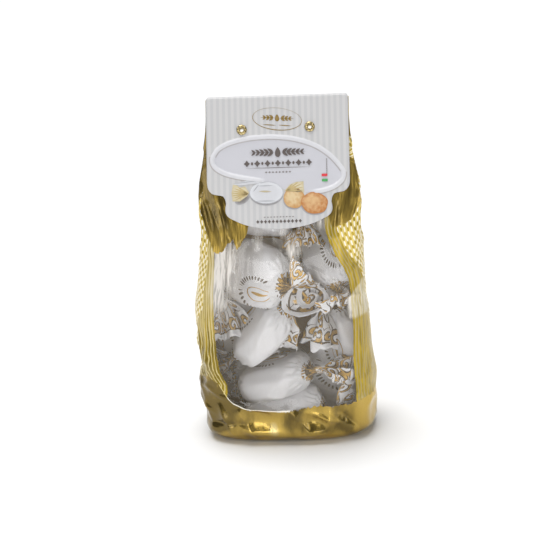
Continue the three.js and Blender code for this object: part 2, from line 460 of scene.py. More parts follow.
def half_width(z):
    shoulder = smoothstep(SHOULDER_START - z, 0, 48)
    body = np.clip((SHOULDER_START - z) / 150, 0, 1)
    return TOP_HALF_WIDTH + SHOULDER_SPREAD * shoulder + BODY_SPREAD * body - floor_inset(z)


def front_y(z):
    leaning = (BAG_HEIGHT - z) * math.tan(TOP_LEAN) - TOP_FRONT_Y
    return floor_inset(z) - soft_min(BODY_HALF_DEPTH, leaning, FRONT_SOFTNESS)


def back_y(z):
    leaning = TOP_FRONT_Y + FLAT_DEPTH - (BAG_HEIGHT - z) * math.tan(TOP_LEAN)
    parting = softplus(SPLIT_HEIGHT - z, SPLIT_SOFTNESS)
    return soft_min(BODY_HALF_DEPTH, leaning + parting, SPLIT_SOFTNESS) - floor_inset(z)


def bag_surface(levels, panel_steps, gusset_steps):
    """Points of the bag's film, a ring for each level, from the left end of the front."""
    z = levels[:, None]
    front, back = front_y(z), back_y(z)
    middle, depth = (front + back) / 2, (back - front) / 2
    fold = smoothstep(z, GUSSET_OPEN, GUSSET_FOLDED)
    squareness = lerp(BODY_SQUARENESS, FOLDED_SQUARENESS, fold)
    corner = 2 ** (-1 / squareness)

    def bow(t):
        return (1 - np.abs(t) ** squareness) ** (1 / squareness)

    slack = GIRTH / 4 - half_width(z) - floor_inset(z)
    free = np.sqrt(np.maximum(0, slack**2 - depth**2))
    pleat = fold * free * np.clip(depth / LEAST_LIP - 1, 0, 1)
    half = half_width(z) / lerp(1, bow((1 - GUSSET_LIP) * corner), fold)
    panel = np.linspace(-1, 1, panel_steps, endpoint=False)[None]
    side = np.linspace(-1, 1, gusset_steps, endpoint=False)[None]
    tuck = np.clip((1 - np.abs(side) - GUSSET_LIP) / (1 - GUSSET_LIP), 0, 1)
    across_x, across_y = half * panel * corner, depth * bow(panel * corner)
    side_x, side_y = half * bow(side * corner) - pleat * tuck, depth * side * corner
    x = np.concatenate([across_x, side_x, -across_x, -side_x], 1)
    y = middle + np.concatenate([-across_y, side_y, across_y, -side_y], 1)
    points = np.stack([x, y, np.broadcast_to(z, x.shape)], -1)
    outward = unit(np.stack([x / half**2, (y - middle) / depth**2, 0 * x], -1))
    push = np.zeros(x.shape)
    for *place, reach, height in LUMPS:
        push += height * np.exp(-(((points - place) ** 2).sum(-1)) / reach**2)
    return points + outward * push[..., None]


def inside_share(points):
    """How far out a point lies in the bag: 1 on its film, less inside."""
    z = np.clip(points[..., 2], 0.5, BAG_HEIGHT - 20)
    front, back = front_y(z), back_y(z)
    across = np.abs(points[..., 0]) / half_width(z)
    deep = np.abs(points[..., 1] - (front + back) / 2) / ((back - front) / 2)
    return (across**BODY_SQUARENESS + deep**BODY_SQUARENESS) ** (1 / BODY_SQUARENESS)


def to_header(points):
    """From the header's own frame, with z up the leaning card, to the bag's."""
    x, y, z = np.moveaxis(np.asarray(points, float), -1, 0)
    cos, sin = math.cos(TOP_LEAN), math.sin(TOP_LEAN)
    top = TOP_FRONT_Y + FLAT_DEPTH / 2
    return np.stack([x, y * cos + z * sin + top, BAG_HEIGHT - y * sin + z * cos], -1)


def from_bag(y, z):
    """A point of the bag's middle plane in the header's own frame, as its y and z."""
    cos, sin = math.cos(TOP_LEAN), math.sin(TOP_LEAN)
    y, z = y - TOP_FRONT_Y - FLAT_DEPTH / 2, z - BAG_HEIGHT
    return y * cos - z * sin, y * sin + z * cos


# ---------------------------------------------------------------- the printed film
# Where the print's zones end. Each row gives a height and how far round from the middle of the
# front the zone ends there: the window on the left and on the right, and the stripes.
LEFT_WINDOW = [
    (31, 33.2), (37, 32.6), (41, 35), (48, 37.5), (56, 38.6), (71, 39.8), (100, 41.9), (118, 43),
    (140, 37),
]
RIGHT_WINDOW = [(61, 39.1), (80, 39.9), (98, 40.8), (106, 39.5), (114, 35.3), (126, 30.1), (140, 27)]
RIGHT_STRIPES = [(72, 66), (84, 60), (92, 54.5), (104, 51.6), (118, 41.3), (128, 37.1), (140, 35)]
LEFT_STRIPES = [(68, 60), (82, 50), (118, 48), (140, 44)]
# each row gives a place round the front and how low the solid gold under the card reaches there
SHOULDER_GOLD = [
    (-50, 160), (-48, 127), (-43, 117), (-41.5, 116), (-36.6, 117.8), (-34, 121.3), (-30, 124),
    (-28, 119.5), (-27, 118.6), (-25, 121), (-23, 124.4), (-20.5, 128.3), (-19.5, 132), (-10, 134),
    (10, 135), (28, 136), (31.3, 134.6), (33.2, 130), (36, 128.3), (41.5, 130.7), (46, 133),
    (48.5, 140), (50, 152), (52, 175),
]
# and how high the solid gold foot reaches
FOOT_GOLD = [
    (-138, 30), (-70, 34), (-55, 38), (-45, 41), (-38, 37), (-34, 30.5), (-30, 25.8), (-20, 22.6),
    (-9, 22), (0, 22), (10, 22.8), (20, 24), (30, 23.6), (38, 24.6), (45, 26), (55, 27), (138, 30),
]
BACK_GOLD = 101.0  # the back is solid gold from here on
LATTICE = (2.3, 5.1)  # spacing of the lattice's openings, across and up
OPENING = (0.52, 1.55)  # half width and half height of an opening
DIAMOND = (0.85, 1.9)  # and of the darker gold diamonds between openings
FOOT_GLINT = 0.7  # width of the painted highlight along the foot's upper edge, for the glint on its fold
# patches of painted glare, milky white where the film catches the light: across, up, half width, half
# height, strength
GLARE_PATCHES = [
    (-37, 107, 8, 21, 1.3), (-14, 124, 3.5, 6, 0.4), (26, 133, 4.5, 4, 1.0), (-48, 45, 5, 4, 0.7),
    (-41, 96, 4, 14, 0.8), (3, 128, 2.5, 4, 0.6), (44, 24, 3, 4, 0.6), (8.5, 117.5, 4.5, 4.5, 1.0),
]
PANEL_STEPS, GUSSET_STEPS = 112, 66
LINER_TOP = 116.0  # the back of the print shows up to here
LINER_FROM = 46.0  # and from this far round the girth
LINER_GAP = 1.2
LINER_THICKNESS = 0.05
FOLD_PITCH = 1.818  # size of the folds in the film, and of the painted shade streaks along them in its ink
# the noises on the film: name, size in millimetres, detail, distortion
FILM_NOISES = [("cloud", 16.67, 3.0, 0.0), ("broad", 23.81, 1.0, 0.8), ("crinkle", 6.667, 3.0, 0.0)]


def film_levels():
    """Heights of the rings of film, closest in the rounded foot."""
    rounding = FLOOR_ROUNDING * (1 - np.cos(np.linspace(0, math.pi / 2, 10, endpoint=False)))
    return np.concatenate([rounding, np.linspace(FLOOR_ROUNDING, BAG_HEIGHT, 236)])


def crease(u, v, start, end, height, width):
    """A sharp ridge of film from one printed place to another, in millimetres."""
    start, end = np.array(start, float), np.array(end, float)
    way = end - start
    length = np.linalg.norm(way)
    way /= length
    along = ((u - start[0]) * way[0] + (v - start[1]) * way[1]) / length
    off = (u - start[0]) * -way[1] + (v - start[1]) * way[0]
    taper = np.clip(1 - (2 * np.clip(along, 0, 1) - 1) ** 2, 0, 1) * ((along > 0) & (along < 1))
    return height * taper * np.exp(-np.sqrt(off**2 + 0.15) / width)


# start and end (across and up the print), height and width of the creases that catch the light,
# and how much painted glare lies milky white along them
CREASES = [
    ((-39, 26), (-30, 4), 2.8, 2.6, 0.0),
    ((-27, 24), (-18, 4), 2.2, 2.4, 0.0),
    ((24, 22), (34, 8), 2.2, 2.2, 0.0),
    ((-38, 31), (-6, 20.5), 1.6, 1.3, 0.0),
    ((-60, 28), (-40, 18), 1.8, 1.6, 0.0),
    ((-52, 12), (-20, 14), -1.8, 1.8, 0.0),
    ((8, 21), (34, 12), 1.8, 1.5, 0.0),
    ((28, 22), (44, 6), -1.8, 1.8, 0.0),
    ((-50, 30), (-42, 6), 1.8, 2.4, 0.0),
    ((-50, 36), (-30, 26), 1.4, 1.2, 0.0),
    ((2, 21), (16, 4), 1.6, 2.0, 0.0),
    ((38, 30), (30, 14), 1.0, 1.2, 0.0),
    ((-36, 120), (-27, 84), 1.5, 1.1, 0.7),
    ((-29, 121), (-33, 92), 1.2, 1.0, 0.5),
    ((-42, 114), (-35, 72), 1.2, 1.2, 0.6),
    ((-39, 98), (-32, 76), 1.1, 1.0, 0.6),
    ((-16, 128), (-34, 113), 1.2, 1.1, 0.3),
    ((-17, 130), (-14, 118), 1.3, 1.0, 0.3),
    ((-4, 128), (3, 112), 1.2, 1.0, 0.5),
    ((10, 127), (16, 108), 1.0, 1.0, 0.3),
    ((26, 127), (43, 90), 1.5, 1.2, 0.2),
    ((17, 109), (37, 97), 1.4, 0.9, 1.0),
    ((30, 101), (41, 90), 1.3, 0.9, 0.9),
    ((33, 92), (52, 87), 1.6, 1.2, 0.4),
    ((36, 97), (54, 110), 1.3, 1.2, 0.3),
    ((47, 108), (50, 76), 1.5, 1.0, 0.8),
    ((53, 106), (55, 82), 1.4, 1.0, 0.6),
    ((40, 94), (42, 66), 1.0, 1.1, 0.4),
    ((-54, 58), (-37, 43), 1.5, 1.2, 0.0),
    ((-56, 42), (-38, 47), 1.3, 1.2, 0.0),
    ((-50, 64), (-41, 33), 1.1, 1.0, 0.4),
    ((-45, 52), (-38, 31), 1.0, 1.0, 0.5),
    ((44, 62), (47, 26), 0.8, 1.1, 0.0),
    ((-36, 140), (-30, 116), 1.4, 1.1, 0.4),
    ((-41, 142), (-38, 118), 1.3, 1.0, 0.3),
    ((34, 146), (41, 122), 1.4, 1.1, 0.2),
    ((45, 150), (50, 112), 1.2, 1.1, 0.2),
]


def along_rows(x, rows):
    """A value read off rows that each give a place and the value there."""
    return np.interp(x, *np.array(rows, float).T)


def print_zones(u, v):
    """Where each place of the film lies on its print, in millimetres: how far past the window's
    edge, how far into the lattice, and how deep in the solid gold."""
    edge = np.where(u < 0, along_rows(v, LEFT_WINDOW), along_rows(v, RIGHT_WINDOW))
    stripes = np.where(u < 0, along_rows(v, LEFT_STRIPES), along_rows(v, RIGHT_STRIPES))
    past, lattice = np.abs(u) - edge, np.abs(u) - stripes
    shoulder = v - along_rows(u, SHOULDER_GOLD)
    foot = along_rows(u, FOOT_GOLD) - v
    solid = np.maximum(np.maximum(shoulder, foot), np.abs(u) - BACK_GOLD)
    return past, lattice, solid, foot


def film_glare(u, v):
    """How much painted glare lies milky white on the film at each place: in its patches and along its
    creases.
    """
    worn = sum(white * crease(u, v, a, b, 1, 0.9) for a, b, _, _, white in CREASES)
    patch = sum(s * np.exp(-(((u - x) / a) ** 2) - ((v - y) / b) ** 2) for x, y, a, b, s in GLARE_PATCHES)
    # a broad one on the right, cut off above by a fold
    fold = smoothstep(90 + (u - 40) * 0.65 - v, -0.3, 1.0) * smoothstep(v, 74.5, 77)
    patch = patch + 1.1 * fold * smoothstep(u, 37, 40) * (1 - smoothstep(u, 60, 66))
    return worn, patch


def film_relief(points, u, v, settings):
    """How far the film stands off its smooth form: creases, gathers and crumples."""
    noise = Noise(settings.seed)
    random = np.random.default_rng(settings.seed)
    relief = sum(crease(u, v, *c[:4]) for c in CREASES)
    window = smoothstep(36 - np.abs(u), 0, 8)
    for _ in range(settings.creases):
        start = np.array([random.uniform(-138, 138), random.uniform(4, 140)])
        turn = random.normal(math.pi / 2, 0.7)
        length = random.uniform(10, 32)
        end = start + length * np.array([math.cos(turn), math.sin(turn)])
        ridge = crease(u, v, start, end, random.uniform(-1.0, 0.9), random.uniform(0.7, 1.4))
        relief = relief + ridge * (1 - 0.7 * window)
    foot = smoothstep(44 - v, 0, 16) * smoothstep(v, 1, 8)
    crumple = 2.0 * noise.ridged(points, 16) + 0.2 * noise.ridged(points + 90, 8)
    relief = relief + foot * (crumple - 0.5)
    left = smoothstep(-u, 38, 48) * smoothstep(v, 25, 40) * (1 - smoothstep(v, 60, 75))
    relief = relief + left * (1.2 * noise.ridged(points + 40, 7) - 0.9)
    gather = smoothstep(v, 90, 122) * (1 - 0.9 * window * (1 - smoothstep(v, 124, 132)))
    drawn = np.stack([u, v * 0.10 + 0.15 * u, 0 * u], -1)
    pleats = 0.9 * noise.ridged(drawn, 6.5) + 0.6 * noise.ridged(drawn + 50, 3.4)
    relief = relief + gather * (pleats - 1.3)
    slack = smoothstep(v, 104, 122) * smoothstep(-u, 40, 50) * (1 - smoothstep(v, 140, 152))
    relief = relief - 1.2 * slack
    fine = 0.4 * noise.ridged(points, 10) * (1 - 0.5 * window) * (1 - 0.8 * foot)
    relief = relief + 0.5 * noise.at(points, 22) + fine
    # where the card lies on it, the film only gives way inwards
    card = smoothstep(v, 140, 146) * smoothstep(46 - np.abs(u), 0, 4)
    tab = smoothstep(v, 122, 127) * smoothstep(35 - np.abs(u), 0, 4)
    behind = smoothstep(v, 150, 156)
    covered = np.maximum(np.maximum(card, tab), behind)
    relief = lerp(relief, np.minimum(relief, 0) * 0.3, covered)
    return relief * smoothstep(v, 0.5, 5) * (1 - smoothstep(v, 176, 182))


def film_values(tree, settings):
    """Where each place of the film lies on its print, in millimetres, what is printed there, where
    its folds run, and where painted shade, painted highlights and painted glare lie on it."""
    known = {
        "unit": UV_UNIT,
        "half_girth": GIRTH / 2,
        "pitch": settings.stripe_pitch / MM,
        "step_x": LATTICE[0],
        "step_y": LATTICE[1],
        "opening_x": OPENING[0],
        "opening_y": OPENING[1],
        "diamond_x": DIAMOND[0],
        "diamond_y": DIAMOND[1],
        "keyline_half": FOOT_GLINT / 2,
    }
    for layer, first, second in (
        ("print", "x", "y"),
        ("zones", "window_share", "lattice_share"),
        ("gilding", "solid_share", "foot_share"),
        ("glare", "worn", "patch"),
    ):
        pair = add(tree, "ShaderNodeSeparateXYZ", {0: add(tree, "ShaderNodeUVMap", uv_map=layer)})
        known[first], known[second] = pair.outputs["X"], pair.outputs["Y"]
    work_out(
        tree,
        known,
        u="wrap(x * unit, half_girth, 0 - half_girth)",
        v="y * unit",
        drawn_out="v * 0.12 - maximum(42 - v, 0) * 0.25",
    )
    # the film's folds, and the streaks of painted shade along them, drawn out up the film but less so in
    # its foot
    flat = add(tree, "ShaderNodeCombineXYZ", {"X": known["u"], "Y": known["drawn_out"]})
    folds = {"Vector": flat, "Scale": 1 / FOLD_PITCH, "Detail": 3.0, "Distortion": 0.5}
    known["pull"] = add(tree, "ShaderNodeTexNoise", folds)
    spot = add(tree, "ShaderNodeTexCoord").outputs["Object"]
    for name, size, detail, bent in FILM_NOISES:
        noise = {"Vector": spot, "Scale": scale_of(size), "Detail": detail, "Distortion": bent}
        known[name] = add(tree, "ShaderNodeTexNoise", noise)
    work_out(
        tree,
        known,
        past="window_share * unit + (pull - 0.5) * 1.4",
        # how far the print is crushed together at the lower left corner, which is also painted darker
        # there as shade
        crushed="maximum(minimum(3 - absolute(u + 64) / 12, 1), 0)"
        " * maximum(minimum((74 - v) / 18, 1), 0) * 0.75",
        # the stripes, wider on the right
        right="greater_than(u, 0)",
        stripe="less_than(fract(past / pitch), 0.55 + 0.17 * right + 0.25 * crushed)",
        in_window="less_than(past, 0)",
        in_lattice="greater_than(lattice_share, 0) * (1 - in_window)",
        in_stripes="1 - in_window - in_lattice",
        # the lattice: rows of long openings, each column set half a step on from the last
        column="(absolute(u) - 40 + v * 0.3) / step_x",
        row="fract(v / step_y + modulo(floor(column), 2) / 2)",
        off_x="(fract(column) - 0.5) * step_x",
        off_y="(row - 0.5) * step_y",
        opening="less_than(power(off_x / opening_x, 2) + power(off_y / opening_y, 2), 1)",
        diamond="less_than(absolute(off_x) / diamond_x"
        " + (step_y / 2 - absolute(off_y)) / diamond_y, 1)",
        solid="greater_than(solid_share * unit + (pull - 0.5) * 4, 0)",
        white="(1 - solid) * (in_stripes * (1 - stripe) + in_lattice * opening)",
        pale="(1 - solid) * in_lattice * (1 - opening) * (1 - diamond)",
        # a painted highlight along the left part of the foot's upper edge
        keyline="less_than(absolute(foot_share * unit + keyline_half), keyline_half)"
        " * less_than(absolute(u + 18), 20)",
        light="maximum(white, keyline)",
        # between the stripes the white ink is thin
        printed="maximum(maximum(solid, keyline), in_lattice"
        " + in_stripes * (stripe + (1 - stripe) * (0.75 - 0.3 * right)))",
        # painted shade and painted highlights stand in for the foil's reflections: in the foot the solid
        # gold is painted dark and pale in broad patches, elsewhere dark in streaks along the folds,
        # darker still in the crushed corner and over the left shoulder, a little lighter round the right
        # corner; the stripes too are painted darker along the folds
        low="maximum(minimum((42 - v) / 16, 1), 0)",
        shoulder="maximum(minimum((32 - absolute(u + 58)) / 8, 1), 0)"
        " * maximum(minimum((v - 132 + 12 * pull) / 14, 1), 0) * 0.7",
        right_corner="maximum(minimum(2 - absolute(u - 42) / 20, 1), 0) * 0.12",
        thick="(0.60 - pull) * (2.2 - 1.5 * low) + (broad - 0.45 - right_corner) * (1 + 4.5 * low)"
        " + (cloud - 0.5) + crushed + shoulder",
        thin="(0.40 - broad - crushed) * 7 * low * solid",
        uneven="(0.58 - pull) * 3 + crushed",
    )
    return known


def film_material(settings):
    """Polypropylene film, cast clear and printed in metallic gold and white: the clear window is
    faintly milky and mirrors the lights at its folds, the solid gold shines like foil, and the
    stripes and the lattice are paler where white ink lies under them. Painted shade and painted
    highlights lie in the gold, and painted glare lies milky white over patches and creases."""
    made, tree = new_material("printed_polypropylene_film")
    known = film_values(tree, settings)
    # each row: a colour's name, the share of the second in it, and two colours or their names
    # the dark share in foil and in line is painted shade, and the pale gold of folded is a painted
    # highlight
    for name, share, first, second in (
        ("gap", "in_stripes", linear("#F6F1E3"), linear("#E6D38C")),
        ("foil", "thick", toned(settings.gold), toned(settings.gold, 0.3)),
        ("line", "uneven", toned(settings.bright_gold), toned(settings.bright_gold, 0.45)),
        ("gilt", "solid", "line", "foil"),
        ("tinted", "pale", "gilt", linear("#DAC36C")),
        ("folded", "thin", "tinted", linear("#E2D3A0")),
        ("colour", "light", "folded", "gap"),
        # the painted glare's milky white, yellower over the print
        ("glare_colour", "printed", linear("#ECE7E0"), linear("#D6CBA8")),
    ):
        inputs = {"Factor": known[share], 6: known.get(first, first), 7: known.get(second, second)}
        known[name] = add(tree, "ShaderNodeMix", inputs, data_type="RGBA").outputs[2]
    work_out(
        tree,
        known,
        metallic="(1 - light) * (0.75 + 0.2 * solid - 0.5 * pale)",
        roughness="0.4 - 0.1 * solid - 0.04 * low",
        coat="0.12 + 0.28 * solid",
        height="crinkle * (0.35 - 0.1 * printed)"
        " + pull * (0.3 + 0.9 * printed * (1 - 0.8 * low))",
        milky="0.02 + 0.10 * pull",
        # painted glare: milky white film over the glare patches and along the creases
        cover="minimum(patch * (0.3 + maximum(pull * 3 - 1.2, 0)) * (1 - solid)"
        " + worn * worn * pull, 0.85)",
    )
    relief = {"Strength": 0.5, "Distance": 0.6 * MM, "Height": known["height"]}
    bump = add(tree, "ShaderNodeBump", relief)
    ink = add(
        tree,
        "ShaderNodeBsdfPrincipled",
        {
            "Base Color": known["colour"],
            "Metallic": known["metallic"],
            "Roughness": known["roughness"],
            "Coat Weight": known["coat"],
            "Coat Roughness": 0.06,
            "Normal": bump,
        },
    )
    # the bare film mirrors the same from both sides, so that light gets out of the bag as it
    # gets in
    edge_on = add(tree, "ShaderNodeLayerWeight", {"Blend": 0.5, "Normal": bump})
    known["facing"] = edge_on.outputs["Facing"]
    work_out(tree, known, glance="0.05 + 0.9 * power(facing, 5)")
    shine = add(tree, "ShaderNodeBsdfGlossy", {"Roughness": 0.06, "Normal": bump})
    through = add(tree, "ShaderNodeBsdfTransparent")
    bare = add(tree, "ShaderNodeMixShader", {0: known["glance"], 1: through, 2: shine})
    haze = add(tree, "ShaderNodeBsdfDiffuse", {"Color": linear("#DCC8A4"), "Normal": bump})
    clear = add(tree, "ShaderNodeMixShader", {0: known["milky"], 1: bare, 2: haze})
    # the milky white sheet of the painted glare
    glare_finish = {"Base Color": known["glare_colour"], "Roughness": 0.25, "Normal": bump}
    glare_sheet = add(tree, "ShaderNodeBsdfPrincipled", glare_finish)
    film = add(tree, "ShaderNodeMixShader", {0: known["printed"], 1: clear, 2: ink})
    surface = add(tree, "ShaderNodeMixShader", {0: known["cover"], 1: film, 2: glare_sheet})
    add(tree, "ShaderNodeOutputMaterial", {"Surface": surface})
    return made


def plain_material(name, middle, rim, size, detail=2.0, relief=None, **finish):
    """A finish whose colour runs between two by a noise of a size in millimetres. relief is its
    bump's strength and height, and finish the shader's values, each a number or a formula."""
    made, tree = new_material(name)
    spot = add(tree, "ShaderNodeTexCoord").outputs["Object"]
    noise = {"Vector": spot, "Scale": scale_of(size), "Detail": detail}
    cloud = add(tree, "ShaderNodeTexNoise", noise)
    shades = {"Factor": cloud, 6: middle, 7: rim}
    tone = add(tree, "ShaderNodeMix", shades, data_type="RGBA").outputs[2]
    inputs = {"Base Color": tone}
    if relief:
        bump = {"Strength": relief[0], "Distance": relief[1] * MM, "Height": cloud}
        inputs["Normal"] = add(tree, "ShaderNodeBump", bump)
    for key, value in finish.items():
        if isinstance(value, str):
            value = formula(tree, value, {"cloud": cloud})
        inputs[key.title()] = value
    skin = add(tree, "ShaderNodeBsdfPrincipled", inputs)
    add(tree, "ShaderNodeOutputMaterial", {"Surface": skin})
    return made


def print_back_material():
    """The ink seen through the film from behind: a dull brown gold, darker where it is thick."""
    thin, thick = linear("#A88243"), linear("#5E431E")
    dull = {"metallic": 0.2, "roughness": 0.4}
    return plain_material("back_of_gold_print", thin, thick, 11.11, 3.0, (0.6, 0.6), **dull)


PIN_STEPS, PIN_REACH = 24, 6.0


def header_pins(radius):
    """Rods through both eyelet places, to cut their holes."""
    vertices, faces = [], []
    count = PIN_STEPS
    for across, down in EYELETS.values():
        turn = np.linspace(0, 2 * math.pi, count, endpoint=False)
        for y in (-PIN_REACH, PIN_REACH):
            ring = np.stack(
                [across + radius * np.cos(turn), y + 0 * turn, radius * np.sin(turn) - down], -1
            )
            vertices += (to_header(ring) * MM).tolist()
        first = len(vertices) - 2 * count
        low = [first + i for i in range(count)]
        high = [i + count for i in low]
        faces += [low, high[::-1]]
        for i in range(count):
            j = (i + 1) % count
            faces.append([low[j], low[i], high[i], high[j]])
    return plain_object("pins", vertices, faces)


def cut_holes(made, radius):
    pins = header_pins(radius)
    cut = made.modifiers.new("holes", "BOOLEAN")
    cut.object, cut.operation, cut.solver = pins, "DIFFERENCE", "MANIFOLD"
    bake_modifiers(made)
    bpy.data.objects.remove(pins)
    return made


class BAG_OT_film(bpy.types.Operator):
    """Make the printed film of the bag, with its folds and creases"""

    bl_idname = "biscuit_bag.film"
    bl_label = "Printed Film"

    def execute(self, context):
        settings = context.scene.biscuit_film
        levels = film_levels()
        points = bag_surface(levels, PANEL_STEPS, GUSSET_STEPS)
        # print places: round the girth from the middle of the front, and up
        steps = np.linalg.norm(np.roll(points, -1, 1) - points, axis=-1)
        around = np.concatenate([np.zeros((len(levels), 1)), np.cumsum(steps, 1)], 1)
        front = PANEL_STEPS // 2
        u = (around - around[:, front : front + 1]) / around[:, -1:] * GIRTH
        u = np.where(u > GIRTH / 2, u - GIRTH, u)
        v = np.broadcast_to(levels[:, None], u.shape)
        relief = film_relief(points, u[:, :-1], v[:, :-1], settings)
        points = points + grid_normals(points, True) * relief[..., None]
        points[..., 2] = np.clip(points[..., 2], 0, None)
        wrapped = np.where(u < u[:, :1] - 1e-6, u + GIRTH, u)
        wrapped[:, -1] = wrapped[:, 0] + GIRTH
        past, lattice, solid, foot = print_zones(u, v)
        layers = {
            "print": np.stack([wrapped, v], -1) / UV_UNIT,
            "zones": np.stack([past, lattice], -1) / UV_UNIT,
            "gilding": np.stack([solid, foot], -1) / UV_UNIT,
            "glare": np.stack(film_glare(u, v), -1),
        }
        made = grid_object("film", points, layers, True, poles=(0, -1))
        cut_holes(made, EYELET_BARREL + EYELET_PLAY)
        dress(made, film_material(settings))
        own(made, "film", "bag")
        self.print_back(points, u[:, :-1], levels)
        return {"FINISHED"}

    def print_back(self, points, u, levels):
        """The back of the print, which shows through the window: a liner round the sides and the
        back, just inside the film."""
        rows = np.flatnonzero((levels > 1) & (levels < LINER_TOP))[::4]
        columns = np.flatnonzero(np.abs(u[len(levels) // 2]) > LINER_FROM)
        ahead = PANEL_STEPS
        columns = np.concatenate([columns[columns >= ahead // 2], columns[columns < ahead // 2]])[::3]
        inward = points - LINER_GAP * grid_normals(points, True)
        sheet = inward[np.ix_(rows, columns)]
        uv = np.zeros((*sheet.shape[:2], 2))
        made = grid_object("film_inside", sheet, {"print": uv}, False)
        thicken(made, LINER_THICKNESS)
        dress(made, print_back_material())
        own(made, "film", "bag")


# ---------------------------------------------------------------- the wrapped biscuits
class Biscuit:
    """Where one wrapped biscuit lies: the middle of its body, the way of its twisted ends, and
    the way its flat face looks. print_turn turns the printed motif round the twist axis, and slip
    moves it along. Each end gives the way that its fan bends, how far in degrees, and its style."""

    def __init__(self, place, twist, face, print_turn=0, left=None, right=None, size=1.0, slip=0):
        self.place = np.array(place, float)
        self.axis = unit(np.array(twist, float))
        face = np.array(face, float)
        self.up = unit(face - self.axis * (face @ self.axis))
        self.side = np.cross(self.up, self.axis)
        self.print_turn = math.radians(print_turn)
        self.ends = (left or {}, right or {})
        self.size = size
        self.slip = slip

    def local(self, points):
        moved = points - self.place
        return np.stack([moved @ self.axis, moved @ self.side, moved @ self.up], -1) / self.size

    def world(self, points):
        ways = np.stack([self.axis, self.side, self.up])
        return self.place + self.size * points @ ways


BISCUITS = {
    # front layer, from the top down
    "a": Biscuit((-15.6, -10.6, 98.2), (0.70, -0.64, -0.10), (-0.68, -0.71, 0.16), 124,
                 size=0.96, slip=14,
                 left=dict(way=(-0.3, 0.6, -0.8), bend=70, turn=10, length=0.6),
                 right=dict(way=(0.8, 0.2, 0.6), bend=70, fold=0.5, turn=50, length=0.62)),
    "b": Biscuit((-13.4, -11.7, 64.2), (0.64, -0.28, 0.72), (-0.77, -0.27, 0.58), 44, size=0.95,
                 left=dict(way=(0, 1, -0.5), bend=70),
                 right=dict(way=(0.0, -0.1, -1), bend=165, fold=0.25, turn=0, spread=0.5, length=1.25)),
    "c": Biscuit((-6.4, -9.2, 33.4), (0.86, -0.40, 0.30), (-0.33, 0.0, 0.94), 62, size=0.96,
                 left=dict(way=(-0.2, 1, -0.4), bend=80),
                 right=dict(way=(0.5, 0.3, -0.4), bend=45, turn=20)),
    "d": Biscuit((-1.4, -17.0, 13.6), (0.92, -0.24, 0.14), (-0.20, -0.60, 0.78), 330,
                 left=dict(way=(-0.2, 1, 0.2), bend=70),
                 right=dict(way=(0.3, 0.5, 0.6), bend=35, turn=75)),
    "e": Biscuit((29.4, -2.4, 108.4), (-0.10, 0.65, 0.75), (-0.42, -0.74, 0.52), 120, size=0.95,
                 left=dict(way=(0.3, -0.3, 0.3), bend=50, turn=40, length=0.55),
                 right=dict(way=(-0.8, 0.9, 0.0), bend=80)),
    "f": Biscuit((30.6, 2.6, 51.6), (-0.12, -0.15, 0.98), (-0.60, -0.78, -0.18), 120, size=0.95,
                 left=dict(way=(0.8, 0.4, 0.1), bend=70),
                 right=dict(way=(-0.6, -0.85, -0.8), bend=155, fold=0.3, turn=25, spread=1.3,
                            length=1.2)),
    # one that points its twisted end at the window
    "g": Biscuit((23.0, 8.5, 82.6), (0.22, 0.96, -0.12), (-0.34, 0.18, 0.92), 0,
                 left=dict(way=(-0.3, 0, 1), bend=6, rolled=True, spread=0.74, turn=-8, length=0.40),
                 right=dict(way=(0, 0, 1), bend=60)),
    # one up under the card, and those at the back
    "h": Biscuit((-11.0, -6.5, 130.0), (0.90, -0.42, 0.08), (0.25, 0.45, 0.85), 0, size=0.8,
                 left=dict(way=(0, 1, 0), bend=60),
                 right=dict(way=(0.35, -0.35, -1), bend=85, fold=0.5, turn=90, length=0.85, spread=1.2)),
    "i": Biscuit((-27.0, 13.0, 57.0), (-0.28, -0.35, 0.89), (-0.35, -0.85, -0.42), 30,
                 left=dict(way=(-0.2, -1, 0.2), bend=80),
                 right=dict(way=(0.1, -0.8, -0.6), bend=135, fold=0.35, turn=10, length=1.15)),
    "j": Biscuit((27.2, 10.0, 21.0), (0.92, 0.0, -0.38), (-0.06, -0.99, -0.14), 30,
                 left=dict(way=(0, -0.8, 0.6), bend=60), right=dict(way=(-0.2, -1, 0.3), bend=70)),
    "k": Biscuit((-10.0, 19.3, 23.3), (0.99, 0.0, -0.17), (0.01, -1.0, 0.03), 210,
                 left=dict(way=(0.3, -1, 0.4), bend=80, turn=30),
                 right=dict(way=(0, -0.8, 0.4), bend=60)),
    "l": Biscuit((-13.0, 15.1, 90.2), (0.94, 0.0, 0.35), (-0.03, -0.99, 0.09), 300,
                 left=dict(way=(0.2, -0.6, 1), bend=80), right=dict(way=(0.2, -0.6, 0.9), bend=60)),
}
# the room that the rolled end takes: its middle, and half its width, depth and height
ROLL_PLACE, ROLL_ROOM = (15.8, -23.0, 85.6), (14.5, 9.0, 11.0)
BODY_ROWS, FAN_ROWS, AROUND = 58, 30, 120
BODY_ROOM = 0.8  # how far other paper keeps off a body
BODY_FORM = 2.6  # the power of the rounded form that stands for a body, 2 for an ellipsoid
DEEPEST = 0.35  # paper further in than this share of the way is pushed no harder
PAPER_FLOOR, PAPER_CEILING = 1.2, 160  # the lowest and highest that paper lies
SCROLL_SIZE = 8.4  # one scroll of the paper's print
LEAF_RING = 14.5  # how far from the oval's middle its leaves lie
LEAF_STEP = 0.175  # from one leaf to the next, in radians


